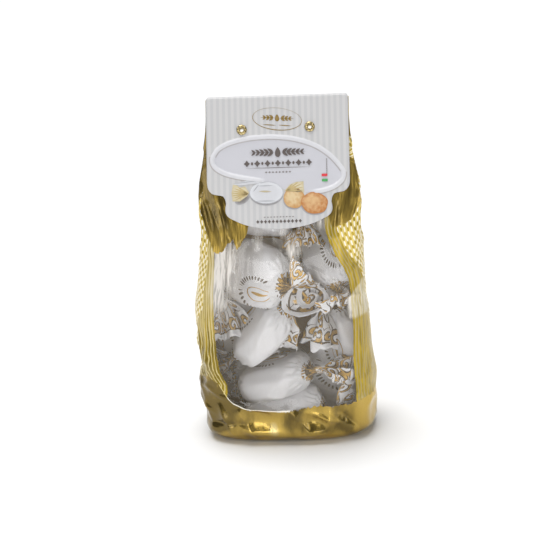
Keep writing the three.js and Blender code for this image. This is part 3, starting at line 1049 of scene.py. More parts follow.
def facets(base, s, turn, random):
    """Flat faces where the paper is drawn tight over the biscuit, cut off the round body."""
    planes = [(0.0, math.pi / 2, 0.93), (0.0, -math.pi / 2, 0.95)]
    for i in range(14):
        angle = i * 2 * math.pi / 14 + random.uniform(-0.25, 0.25)
        planes.append((random.uniform(-0.9, 0.9), angle, random.uniform(0.89, 0.965)))
    radius = [base]
    rows = s[:, None]
    for lean, angle, share in planes:
        facing = np.cos(turn - angle)[None]
        reach = share * np.max(base * facing + lean * rows)
        room = reach - lean * rows
        radius.append(np.where(facing > 0.08, room / np.maximum(facing, 0.08), 1e3))
    radius = np.stack(radius)
    softness = 0.35
    least = radius.min(0)
    return least - softness * np.log(np.exp(-(radius - least) / softness).sum(0))


def body_rows():
    """The wrapped body: radius of the paper for each row along the twist and each step round."""
    s = NECK_AT * np.sin(np.linspace(-math.pi / 2, math.pi / 2, BODY_ROWS))
    s = lerp(s, np.linspace(-NECK_AT, NECK_AT, BODY_ROWS), 0.5)
    turn = np.linspace(0, 2 * math.pi, AROUND, endpoint=False)
    share = np.abs(s) / NECK_AT
    wide = lerp(NECK_RADIUS, BISCUIT_RADIUS, np.cos(math.pi / 2 * share**1.9) ** 0.9)
    thick = lerp(NECK_RADIUS, BISCUIT_HALF_THICKNESS, np.cos(math.pi / 2 * share**2.8) ** 0.9)
    power = 2.5
    outline = (np.abs(np.cos(turn))[None] / wide[:, None]) ** power
    outline += (np.abs(np.sin(turn))[None] / thick[:, None]) ** power
    base = outline ** (-1 / power)
    return s, turn, base


def pleat_pattern(turn, phase, count):
    """Uneven sharp pleats round the neck, between 0 in their valleys and 1."""
    bent = turn + 0.22 * np.sin(2 * turn + phase) + 0.13 * np.sin(5 * turn + 2 * phase)
    broad, narrow = np.sin(bent * count / 2 + phase), np.sin(bent * count + phase)
    return 0.7 * np.abs(broad) + 0.3 * np.abs(narrow)


def sheet_outline(turn, rolled, random):
    """The paper's end beyond a twist, seen along it: a flattened tube, ruffled or rolled up."""
    q = 1 - 2 * np.abs(turn / math.pi - 1)
    lining = np.sign(math.pi - turn) * 0.5 * np.sqrt(np.clip(1 - q**2, 0, 1))
    if rolled:
        share = (q + 1) / 2
        roll = 0.6 + share * 4.2 * math.pi
        radius = (1.8 + 14.2 * share**0.7) * (1 + 0.07 * np.sin(2.6 * roll)) + lining
        return np.stack([radius * np.cos(roll), radius * np.sin(roll)], -1)
    waves, phase = random.uniform(2.2, 3.4), random.uniform(0, 6)
    ruffle = random.uniform(3.0, 4.4) * np.sin(math.pi * waves * q + phase)
    ruffle += random.uniform(0.8, 1.6) * np.sin(math.pi * 2.3 * waves * q + 2 * phase)
    spread = 15.5 * (q + 0.08 * np.sin(math.pi * waves * q + phase + 1))
    arch = random.uniform(-3, 3) * (1 - q**2)
    return np.stack([spread, ruffle + arch + 1.3 * lining], -1)


def fan_rows(turn, neck, end, direction, length, random):
    """Rows of points from a twist to the paper's edge, in the biscuit's own frame."""
    grow = (np.arange(1, FAN_ROWS + 1) / FAN_ROWS) ** 1.15
    rough = sum(
        random.uniform(0.01, 0.03) * np.sin(k * turn + random.uniform(0, 6)) for k in (2, 3, 5, 9, 14)
    )
    f = grow[:, None] * (1 + rough)[None]
    if end.get("rolled"):
        # the inner turns of a roll lie deeper
        f = f * (1 - 0.45 * np.abs(turn / math.pi - 1))[None]
    outline = sheet_outline(turn, end.get("rolled"), random) * (1, end.get("spread", 1.0))
    drawn = random.uniform(0, math.pi)
    tilt = math.radians(end["turn"]) if "turn" in end else drawn
    length = length * end.get("length", 1.0)
    cos, sin = math.cos(tilt), math.sin(tilt)
    outline = outline @ np.array([[cos, sin], [-sin, cos]])
    opened = smoothstep(f, 0.06, 0.62)
    size = (0.16 + 0.84 * f**0.85) * smoothstep(f, 0.0, 0.22)
    pinch = 1 - 0.25 * smoothstep(f, 0, 0.1)
    y = lerp(neck[:, 0][None] * pinch, outline[:, 0][None] * size, opened)
    z = lerp(neck[:, 1][None] * pinch, outline[:, 1][None] * size, opened)
    # the fan bends away from the twist axis, evenly or within a first part of its length
    bend = math.radians(end.get("bend", 30))
    way = np.array(end["local_way"])
    way = unit(way * np.array([0, 1, 1]))
    angle = bend * np.clip(f / end.get("fold", 1.0), 0, 1)
    run = length * f
    step = np.diff(run, axis=0, prepend=0)
    forward = np.cumsum(np.cos(angle) * step, 0)
    aside = np.cumsum(np.sin(angle) * step, 0)
    flat = np.stack([0 * y, y, z], -1)
    along_way = flat @ way
    centre = np.stack([forward, aside * way[1], aside * way[2]], -1)
    lean = np.stack([-np.sin(angle) * along_way, 0 * y, 0 * y], -1)
    lean += ((np.cos(angle) - 1) * along_way)[..., None] * way
    points = centre + flat + lean
    points[..., 0] = direction * (NECK_AT + points[..., 0])
    # where a roll hides the most of the paper, its mouth still shows the paper's printed edge
    if end.get("rolled"):
        return points, run + FAN_LENGTH - run[-1]
    return points, run * min(1, FAN_LENGTH / length)


def biscuit_points(biscuit, settings, seed):
    """All the paper of one wrapped biscuit in its own frame, with its places on the print."""
    random = np.random.default_rng(seed)
    noise = Noise(seed)
    length = settings.fan_length / MM
    s, turn, base = body_rows()
    radius = facets(base, s, turn, random)
    share = np.abs(s)[:, None] / NECK_AT
    gather = smoothstep(share, 0.52, 1.0)
    twist = np.sign(s)[:, None] * 1.5 * smoothstep(share, 0.78, 1.0)
    count = random.integers(10, 13)
    phases = random.uniform(0, 6, 2)
    phase = np.where(s[:, None] < 0, phases[0], phases[1])
    pleats = pleat_pattern(turn[None] + twist, phase, count)
    radius = radius * (1 + gather * 0.42 * (pleats - 0.62))
    x = s[:, None] + 0 * radius
    cos, sin = np.cos(turn), np.sin(turn)
    even = np.stack([x, 18 * cos + 0 * x, 18 * sin + 0 * x], -1)
    radius = radius + 0.35 * (1 - gather) * noise.at(even, 9.0)
    drawn = np.stack([0.35 * x, radius * cos, radius * sin], -1)
    radius = radius + (0.22 + 0.25 * gather) * noise.ridged(drawn, 6.0)
    body = np.stack([x, radius * cos, radius * sin], -1)
    rows, travelled = [body], [x]
    for end, direction, name in ((biscuit.ends[0], -1, 0), (biscuit.ends[1], 1, -1)):
        way = np.array(end["way"], float)
        local = np.array([way @ biscuit.axis, way @ biscuit.side, way @ biscuit.up])
        neck = body[name][:, 1:]
        fan, run = fan_rows(turn, neck, {**end, "local_way": local}, direction, length, random)
        crumple = smoothstep(run / length, 0.05, 0.4)[..., None]
        large, small = (
            np.stack([noise.ridged(fan + k * 50, size) for k in range(3)], -1) for size in (9, 4.5)
        )
        fan = fan + 0.9 * crumple * (large + 0.5 * small)
        if direction < 0:
            rows.insert(0, fan[::-1])
            travelled.insert(0, -(NECK_AT + run)[::-1])
        else:
            rows.append(fan)
            travelled.append(NECK_AT + run)
    points = np.concatenate(rows)
    along = np.concatenate(travelled)
    girth = (turn - biscuit.print_turn + math.pi) % (2 * math.pi) - math.pi
    start = int(np.argmin(girth))
    points, along = np.roll(points, -start, 1), np.roll(along, -start, 1)
    around = np.linspace(-0.5, 0.5, AROUND + 1) * PAPER_GIRTH
    along = np.concatenate([along, along[:, :1]], 1)
    uv = np.stack([along, np.broadcast_to(around, along.shape)], -1) / UV_UNIT
    return points, {"print": uv, "mark": uv - (biscuit.slip / UV_UNIT, 0)}


def way_out(share):
    """How many times further out a place goes that lies at a share of the way out of a form."""
    return np.where(share < 1, 1 / np.maximum(share, DEEPEST), 1.0)[..., None]


def kept_apart(points, biscuit, others):
    """Moves paper that would run into another biscuit's body, or through the film, out of it."""
    for other in others:
        if other is biscuit:
            continue
        local = other.local(points)
        flat = np.hypot(local[..., 0], local[..., 1]) / (BISCUIT_RADIUS + BODY_ROOM)
        deep = np.abs(local[..., 2]) / (BISCUIT_HALF_THICKNESS + BODY_ROOM)
        share = (flat**BODY_FORM + deep**BODY_FORM) ** (1 / BODY_FORM)
        # a body keeps its form, so only the paper past its own twists gives way
        own_place = biscuit.local(points)
        loose = smoothstep(np.abs(own_place[..., 0]), NECK_AT - 3, NECK_AT + 4)
        moved = other.world(local * way_out(share))
        points = lerp(points, moved, loose[..., None])
    if not any(end.get("rolled") for end in biscuit.ends):
        off = (points - ROLL_PLACE) / ROLL_ROOM
        points = ROLL_PLACE + off * way_out(np.linalg.norm(off, axis=-1)) * ROLL_ROOM
    z = np.clip(points[..., 2], PAPER_FLOOR, PAPER_CEILING)
    points = np.stack([points[..., 0], points[..., 1], z], -1)
    share = inside_share(points)
    middle, depth = (front_y(z) + back_y(z)) / 2, (back_y(z) - front_y(z)) / 2
    room = 1 - (1.3 + 2.4 * smoothstep(z, 90, 116) + 2.4 * smoothstep(42 - z, 0, 12)) / depth
    squeeze = np.where(share > room, room / np.maximum(share, 1e-6), 1.0)
    x = points[..., 0] * squeeze
    y = middle + (points[..., 1] - middle) * squeeze
    return np.stack([x, y, z], -1)


def paper_values(tree):
    """Where each place of the paper lies on its print, in millimetres along the twist and round
    it, and where its gold and its brown are."""
    known = {"unit": UV_UNIT, "cell": SCROLL_SIZE, "ring": LEAF_RING, "leaf_step": LEAF_STEP}
    for layer, first, second in (("print", "x", "y"), ("mark", "mark_x", "mark_y")):
        pair = add(tree, "ShaderNodeSeparateXYZ", {0: add(tree, "ShaderNodeUVMap", uv_map=layer)})
        known[first], known[second] = pair.outputs["X"], pair.outputs["Y"]
    work_out(tree, known, s="x * unit", v="y * unit", cell_x="s / cell", cell_y="v / cell")
    # scrolls: in each cell of a scattered pattern, a spiral round the cell's middle
    spot = add(tree, "ShaderNodeCombineXYZ", {"X": known["cell_x"], "Y": known["cell_y"]})
    pattern = {"Vector": spot, "Scale": 1.0, "Randomness": 0.75}
    cells = add(tree, "ShaderNodeTexVoronoi", pattern, voronoi_dimensions="2D")
    apart = {0: spot, 1: cells.outputs["Position"]}
    offset = add(tree, "ShaderNodeVectorMath", apart, operation="SUBTRACT")
    part = add(tree, "ShaderNodeSeparateXYZ", {0: offset})
    drawn = add(tree, "ShaderNodeSeparateXYZ", {0: cells.outputs["Color"]})
    known["from_middle"] = cells.outputs["Distance"]
    known["off_x"], known["off_y"] = part.outputs["X"], part.outputs["Y"]
    known["hand"], known["start"] = drawn.outputs["X"], drawn.outputs["Y"]
    work_out(
        tree,
        known,
        angle="arctan2(off_y, off_x) / 6.2832",
        wound="fract(from_middle * 2 + sign(hand - 0.5) * angle + start)",
        curl="less_than(absolute(wound - 0.5), 0.31) * less_than(from_middle, 0.62)",
        filling="less_than(absolute(wound - 0.5), 0.17) * less_than(from_middle, 0.58)",
        # past the body the paper is printed up to a white edge, with a band round each neck
        past_body="greater_than(absolute(s), 22.8) * less_than(absolute(s), 49.8)",
        neck="less_than(absolute(absolute(s) - 26.6), 2.6)",
        hem="less_than(absolute(absolute(s) - 49.3), 0.4)",
        # the body's own marks: an oval with an almond, and leaves along an arc on either side
        on_body="less_than(absolute(s), 20.5)",
        m="mark_x * unit",
        oval="power(m / 9, 2) + power(v / 5.2, 2)",
        rim="less_than(absolute(oval - 1), 0.11)",
        almond="less_than(power(absolute(m / 6), 1.3) + power(absolute(v / 1.3), 2), 1)",
        bearing="arctan2(v, m)",
        tall="power(m * m + v * v, 0.5) - ring",
        wide="(fract(absolute(bearing) / leaf_step) - 0.5) * leaf_step * ring",
        leaf="less_than(power((wide + 0.25 * tall) / 0.75, 2) + power(tall / 2, 2), 1)",
        leaves="leaf * less_than(absolute(absolute(bearing) - 2.15), 0.9)",
        brown="maximum(past_body * maximum(maximum(curl, neck), hem), on_body * leaves)",
        gold="maximum(past_body * filling, on_body * maximum(rim, almond))",
    )
    return known


def paper_material(settings):
    """Waxed twist paper, calendered and printed: white with a dull gloss, finely crinkled, with
    gold and brown scrolls past the body, and a small almond mark and arcs of leaves on it."""
    made, tree = new_material("waxed_twist_paper")
    known = paper_values(tree)
    spot = add(tree, "ShaderNodeTexCoord").outputs["Object"]
    clouds = {"Vector": spot, "Scale": scale_of(22.22), "Detail": 2.0}
    known["cloud"] = add(tree, "ShaderNodeTexNoise", clouds)
    for name, share, first, second in (
        ("white", "cloud", toned(settings.paper), toned(settings.paper, 0.93)),
        ("inked", "brown", "white", linear("#4A3B28")),
        ("colour", "gold", "inked", linear("#C29B4E")),
    ):
        inputs = {"Factor": known[share], 6: known.get(first, first), 7: known.get(second, second)}
        known[name] = add(tree, "ShaderNodeMix", inputs, data_type="RGBA").outputs[2]
    # the crinkle is drawn at 3 mm, coarser than the wax's own, so that it shows
    crinkle = {"Vector": spot, "Scale": scale_of(3.03), "Detail": 4.0, "Roughness": 0.6}
    fibre = add(tree, "ShaderNodeTexNoise", crinkle)
    bump = add(tree, "ShaderNodeBump", {"Strength": 0.5, "Distance": 0.35 * MM, "Height": fibre})
    skin = add(
        tree,
        "ShaderNodeBsdfPrincipled",
        {
            "Base Color": known["colour"],
            "Metallic": formula(tree, "gold * 0.6", known),
            "Roughness": 0.38,
            "Specular IOR Level": 0.6,
            "Normal": bump,
        },
    )
    add(tree, "ShaderNodeOutputMaterial", {"Surface": skin})
    return made


class BAG_OT_biscuits(bpy.types.Operator):
    """Make the wrapped biscuits that fill the bag"""

    bl_idname = "biscuit_bag.biscuits"
    bl_label = "Wrapped Biscuits"

    def execute(self, context):
        settings = context.scene.biscuit_wrapped
        material = paper_material(settings)
        for i, (name, biscuit) in enumerate(BISCUITS.items()):
            points, layers = biscuit_points(biscuit, settings, settings.seed + i)
            points = kept_apart(biscuit.world(points), biscuit, BISCUITS.values())
            made = grid_object(f"wrapped_biscuit_{name}", points, layers, True)
            thicken(made, PAPER_THICKNESS, -1)
            dress(made, material)
            own(made, "wrapper", "bag")
        return {"FINISHED"}


# ---------------------------------------------------------------- the header card
def curve_points(*segments, steps=10):
    """Points along joined Bezier curves of two or three degrees, each given by its corners."""
    t = np.linspace(0, 1, steps, endpoint=False)[:, None]
    parts = []
    for corners in segments:
        layer = [np.array(c, float) + 0 * t for c in corners]
        while len(layer) > 1:
            layer = [lerp(a, b, t) for a, b in zip(layer, layer[1:])]
        parts.append(layer[0])
    parts.append(np.array([segments[-1][-1]], float))
    return np.concatenate(parts)


def front_half_width(down):
    """Half the width of the die-cut front leaf at a distance down from its top edge."""
    side, shoulder, tab = CARD_HALF_WIDTH, SHOULDER_DROP, TAB_HALF_WIDTH
    low, foot = shoulder + TAB_SIDE, CARD_LENGTH
    corner, past_corner = (side, shoulder - SHOULDER_CORNER), (side - SHOULDER_CORNER, shoulder)
    neck = (tab - TAB_NECK, shoulder + 0.35 * TAB_SIDE)
    swell = (tab + TAB_NECK, shoulder + 0.65 * TAB_SIDE)
    tip = (tab - TAB_CORNER, low)
    edge = curve_points(
        [(side, -5), corner],
        [corner, (side, shoulder), past_corner],
        [past_corner, (tab, shoulder), neck],
        [neck, swell, (tab, low - 2), tip],
        [tip, (0.57 * tab, foot - 0.8), (0.23 * tab, foot), (0, foot)],
    )
    order = np.argsort(edge[:, 1], kind="stable")
    return np.interp(down, edge[order, 1], edge[order, 0])


def card_path():
    """The folded sheet seen from its side: y, z, half width and distance down the front, from
    the front leaf's tip over the fold to the back leaf's lower edge."""
    middle = (CARD_INNER + CARD_OUTER) / 2
    down = np.concatenate([np.linspace(CARD_LENGTH - 0.04, SHOULDER_DROP, 54)[:-1],
                           np.linspace(SHOULDER_DROP, 0, 92)])
    front = np.stack([-middle + 0 * down, -down, front_half_width(down)], -1)
    turn = np.linspace(math.pi, 0, 13)[1:-1]
    fold = np.stack([middle * np.cos(turn), middle * np.sin(turn), CARD_HALF_WIDTH + 0 * turn], -1)
    height = np.linspace(BAG_HEIGHT - 1, BACK_LEAF_END, 44)
    y, z = from_bag(back_y(height), height)
    y_low, z_low = from_bag(back_y(height - 0.5), height - 0.5)
    way = unit(np.stack([y_low - y, z_low - z], -1))
    off = CARD_GAP + CARD_THICKNESS / 2
    y, z = y - way[:, 1] * off, z + way[:, 0] * off
    left = np.maximum(0, BACK_CORNER - (z - z.min()))
    corner = BACK_CORNER - np.sqrt(np.maximum(BACK_CORNER**2 - left**2, 0))
    back = np.stack([y, z, CARD_HALF_WIDTH - corner], -1)
    path = np.concatenate([front, fold, back])
    over = np.maximum(0, path[:, 1] - (CARD_OUTER - TOP_CORNER))
    rounding = TOP_CORNER - np.sqrt(np.maximum(TOP_CORNER**2 - over**2, 0))
    path[:, 2] = np.minimum(path[:, 2], CARD_HALF_WIDTH - rounding)
    steps = np.linalg.norm(np.diff(path[:, :2], axis=0), axis=1)
    travelled = CARD_LENGTH - np.concatenate([[0], np.cumsum(steps)])
    return path, travelled


def oval_distance(across, down):
    """How far outside the oval frame's middle line each place lies, less than 0 inside it."""
    knots = np.array(OVAL, float)
    before, after, far = np.roll(knots, 1, 0), np.roll(knots, -1, 0), np.roll(knots, -2, 0)
    t = np.linspace(0, 1, 12, endpoint=False)[:, None, None]
    line = 0.5 * (
        2 * knots
        + (after - before) * t
        + (2 * before - 5 * knots + 4 * after - far) * t**2
        + (3 * knots - before - 3 * after + far) * t**3
    )
    line = line.transpose(1, 0, 2).reshape(-1, 2)
    spots = np.stack([across, down], -1)
    nearest = np.full(across.shape, 1e3)
    crossings = np.zeros(across.shape, int)
    for start, end in zip(line, np.roll(line, -1, 0)):
        way = end - start
        share = np.clip(((spots - start) @ way) / (way @ way), 0, 1)
        off = np.linalg.norm(spots - start - share[..., None] * way, axis=-1)
        nearest = np.minimum(nearest, off)
        spans = (start[1] > down) != (end[1] > down)
        if way[1]:
            crossings += spans & (across < start[0] + (down - start[1]) * way[0] / way[1])
    return np.where(crossings % 2 == 1, -nearest, nearest)


def oval_fading(across, down):
    """The frame fades out behind the pictured biscuits."""
    right, left = smoothstep(across, -12, -6), smoothstep(26 - across, 2, 10)
    return 1 - right * left * smoothstep(down, 40, 43)


def oval_relief(across, down):
    """Height of the pressed frame: a round bead, with the field inside a little lower."""
    off = oval_distance(across, down)
    bead = OVAL_HEIGHT * np.sqrt(np.clip(1 - (off / (OVAL_RING / 2)) ** 2, 0, 1))
    field = -0.25 * smoothstep(-off, OVAL_RING / 2 - 0.4, OVAL_RING / 2 + 0.6)
    return (bead + field) * oval_fading(across, down)


def card_material(settings):
    """Folding boxboard, silk coated and offset printed: a dull even sheen, faint pearl-grey
    stripes, and a cooler white inside the pressed oval."""
    made, tree = new_material("silk_coated_boxboard")
    known = {"unit": UV_UNIT, "pitch": settings.stripe_pitch / MM, "half_ring": OVAL_RING / 2}
    for layer, first, second in (("print", "x", "y"), ("oval", "off_x", "shown")):
        pair = add(tree, "ShaderNodeSeparateXYZ", {0: add(tree, "ShaderNodeUVMap", uv_map=layer)})
        known[first], known[second] = pair.outputs["X"], pair.outputs["Y"]
    work_out(
        tree,
        known,
        across="x * unit",
        down="y * unit",
        wave="absolute(fract((across + 40) / pitch) - 0.5) * 2",
    )
    edges = {"Value": known["wave"], "From Min": 0.38, "From Max": 0.62}
    known["stripe"] = add(tree, "ShaderNodeMapRange", edges, interpolation_type="SMOOTHSTEP")
    work_out(
        tree,
        known,
        off="off_x * unit",
        upper="less_than(down, 38 + across * 0.14)",
        field="less_than(off, 0)",
        ring="less_than(absolute(off), half_ring) * shown",
        # a soft shade lies inside the frame along its top and outside it along its foot
        shaded="maximum(1 - absolute(off + (upper * 2 - 1) * 1.45) / 0.55, 0) * 0.75 * shown",
        roughness="0.5 - 0.12 * stripe",
    )
    for name, share, first, second in (
        ("stripes", "stripe", linear("#C5C4C4"), linear("#BCBCBD")),
        ("oval", "field", "stripes", linear("#C3C3C9")),
        ("framed", "ring", "oval", linear("#CFCFD3")),
        ("colour", "shaded", "framed", linear("#978E8A")),
    ):
        inputs = {"Factor": known[share], 6: known.get(first, first), 7: known.get(second, second)}
        known[name] = add(tree, "ShaderNodeMix", inputs, data_type="RGBA").outputs[2]
    spot = add(tree, "ShaderNodeTexCoord").outputs["Object"]
    # the coating's grain is drawn at 1.1 mm, coarser than the real one, so that it shows
    coating = {"Vector": spot, "Scale": scale_of(1.111), "Detail": 2.0}
    fibre = add(tree, "ShaderNodeTexNoise", coating)
    bump = add(tree, "ShaderNodeBump", {"Strength": 0.12, "Distance": 0.1 * MM, "Height": fibre})
    inputs = {"Base Color": known["colour"], "Roughness": known["roughness"], "Normal": bump}
    board = add(tree, "ShaderNodeBsdfPrincipled", inputs)
    add(tree, "ShaderNodeOutputMaterial", {"Surface": board})
    return made


def ink_material(name, middle, rim, metallic=0.0, roughness=0.45, grain=0.0, spread=2.0):
    """Offset ink on coated board: it takes the board's sheen, its tone is a little uneven, and it
    runs from one shade at the middle of a printed shape to another at its rim."""
    made, tree = new_material(name)
    spot = add(tree, "ShaderNodeTexCoord").outputs["Object"]
    noise = {"Vector": spot, "Scale": scale_of(1.667), "Detail": 4.0}
    cloud = add(tree, "ShaderNodeTexNoise", noise)
    place = add(tree, "ShaderNodeSeparateXYZ", {0: add(tree, "ShaderNodeUVMap", uv_map="shape")})
    known = {"cloud": cloud, "x": place.outputs["X"], "y": place.outputs["Y"]}
    known.update(rise=spread / 2, unevenness=0.5 + grain * 2.5)
    share = formula(tree, "power(x * x + y * y, rise) + (cloud - 0.5) * unevenness", known)
    shades = {"Factor": share, 6: toned(middle), 7: toned(rim)}
    tone = add(tree, "ShaderNodeMix", shades, data_type="RGBA").outputs[2]
    relief = {"Strength": grain, "Distance": 0.3 * MM, "Height": cloud}
    bump = add(tree, "ShaderNodeBump", relief)
    inputs = {"Base Color": tone, "Metallic": metallic, "Roughness": roughness}
    skin = add(tree, "ShaderNodeBsdfPrincipled", {**inputs, "Normal": bump})
    add(tree, "ShaderNodeOutputMaterial", {"Surface": skin})
    return made


PRINT_GAP = 0.03  # printed shapes lie this far off the front leaf, and off each other
PRINT_THICKNESS = 0.05


def printed_piece(name, outlines, material, layer=0, lit=(0, 0)):
    """Flat printed shapes on the front leaf, each a closed outline of across and down. Their
    shade's middle lies off their own middle by a share of their size."""
    vertices, faces, places = [], [], []
    outer = -CARD_OUTER - PRINT_GAP - (layer + 1) * (PRINT_GAP + PRINT_THICKNESS)
    for outline in outlines:
        count = len(outline)
        first = len(vertices)
        middle = outline.mean(0) + np.array(lit) * (outline.max(0) - outline.min(0)) / 2
        with_middle = np.vstack([outline, middle])
        off = unit(outline - outline.mean(0))
        spots = np.vstack([off, (0, 0)])
        for y in (outer, outer + PRINT_THICKNESS):
            ring = np.stack([with_middle[:, 0], y + 0 * with_middle[:, 0], -with_middle[:, 1]], -1)
            vertices += (to_header(ring) * MM).tolist()
            places += spots.tolist()
        for i in range(count):
            a, b = first + i, first + (i + 1) % count
            faces.append([b, a, first + count])
            faces.append([a + count + 1, b + count + 1, first + 2 * count + 1])
            faces.append([a, b, b + count + 1, a + count + 1])
    made = plain_object(name, vertices, faces)
    places = np.array(places)
    corners = np.zeros(len(made.data.loops), dtype=np.int32)
    made.data.loops.foreach_get("vertex_index", corners)
    uv = made.data.uv_layers.new(name="shape")
    uv.uv.foreach_set("vector", places[corners].astype(np.float32).ravel())
    fix_normals(made)
    made.data.materials.append(material)
    return own(made, "card")


def fix_normals(made):
    work = bmesh.new()
    work.from_mesh(made.data)
    bmesh.ops.recalc_face_normals(work, faces=work.faces)
    work.to_mesh(made.data)
    work.free()


def oval_outline(across, down, half_x, half_y, tilt=0.0, steps=36, rough=0.0, seed=0):
    turn = np.linspace(0, 2 * math.pi, steps, endpoint=False)
    random = np.random.default_rng(seed)
    waves = [random.normal() * np.sin(k * turn + random.uniform(0, 6)) for k in (2, 3, 5, 7)]
    wobble = 1 + rough * sum(waves)
    x, y = half_x * wobble * np.cos(turn), half_y * wobble * np.sin(turn)
    return turned_outline(x, y, across, down, tilt)


def turned_outline(x, y, across, down, tilt):
    """A shape turned by its tilt and set at its place on the card."""
    cos, sin = math.cos(tilt), math.sin(tilt)
    return np.stack([across + x * cos - y * sin, down + x * sin + y * cos], -1)


def almond_outline(across, down, half_x, half_y, tilt=0.0, steps=20):
    """An almond: pointed at its start and round at its other end."""
    turn = np.linspace(0, 2 * math.pi, steps, endpoint=False)
    x = half_x * np.cos(turn)
    y = half_y * np.sin(turn) * np.sin(turn / 2) ** 0.7
    return turned_outline(x, y, across, down, tilt)


def mirrored_outline(x, swell, across, down, tilt):
    """A shape that swells alike to either side of a line along it."""
    upper, lower = np.stack([x, -swell], -1), np.stack([x, swell], -1)
    shape = np.concatenate([upper, lower[-2:0:-1]])
    return turned_outline(shape[:, 0], shape[:, 1], across, down, tilt)


def leaf_outline(across, down, length, half_width, tilt):
    """A slim leaf that starts at a place and points the way of its tilt."""
    x = np.linspace(0, 1, 9)
    swell = half_width * np.sin(math.pi * x**0.8) ** 0.9
    return mirrored_outline(length * x, swell, across, down, tilt)


def lozenge_outline(across, down, half_x, half_y):
    """A lozenge with sides that curve in a little."""
    quarter = np.array([(1, 0), (0.45, 0.4)])
    sides = [quarter, [(0, 1), (-0.45, 0.4)], -quarter, [(0, -1), (0.45, -0.4)]]
    return np.concatenate(sides) * (half_x, half_y) + (across, down)


def rule_outline(across, down, half_length, half_height, tilt=0.0):
    """A rule that tapers to a point at both ends."""
    x = np.linspace(-1, 1, 13)
    swell = half_height * (1 - np.abs(x) ** 2.2)
    return mirrored_outline(half_length * x, swell, across, down, tilt)


def ring_outlines(across, down, half_x, half_y, width, tilt, steps=40):
    """A thin oval ring as short joined strokes, thicker at its lower right like a pen's."""
    outer = oval_outline(0, 0, half_x, half_y, steps=steps)
    strokes = []
    for i in range(steps):
        a, b = outer[i], outer[(i + 1) % steps]
        thick = width * (0.6 + 0.4 * math.sin(2 * math.pi * i / steps))
        shrink = [1 - thick / np.linalg.norm(p) for p in (a, b)]
        stroke = np.array([a, b, b * shrink[1], a * shrink[0]])
        strokes.append(turned_outline(stroke[:, 0], stroke[:, 1], across, down, tilt))
    return strokes


def branch(side, start, down, leaves, step, length, half_width, rise=0.0):
    """A laurel branch that grows to one side of the card's middle, smaller towards its tip."""
    run = leaves * step
    middle, lean = side * (start + run / 2), side * math.atan2(rise, run)
    shapes = [rule_outline(middle, down + rise / 2, (run + 2) / 2, 0.18, lean)]
    for i in range(leaves):
        share = (i + 0.5) / leaves
        size = 1 - 0.35 * share
        across = side * (start + i * step)
        height = down + rise * share
        for lean in (-0.62, 0.62):
            tilt = lean if side > 0 else math.pi - lean
            shapes.append(leaf_outline(across, height, length * size, half_width * size, tilt))
    return shapes


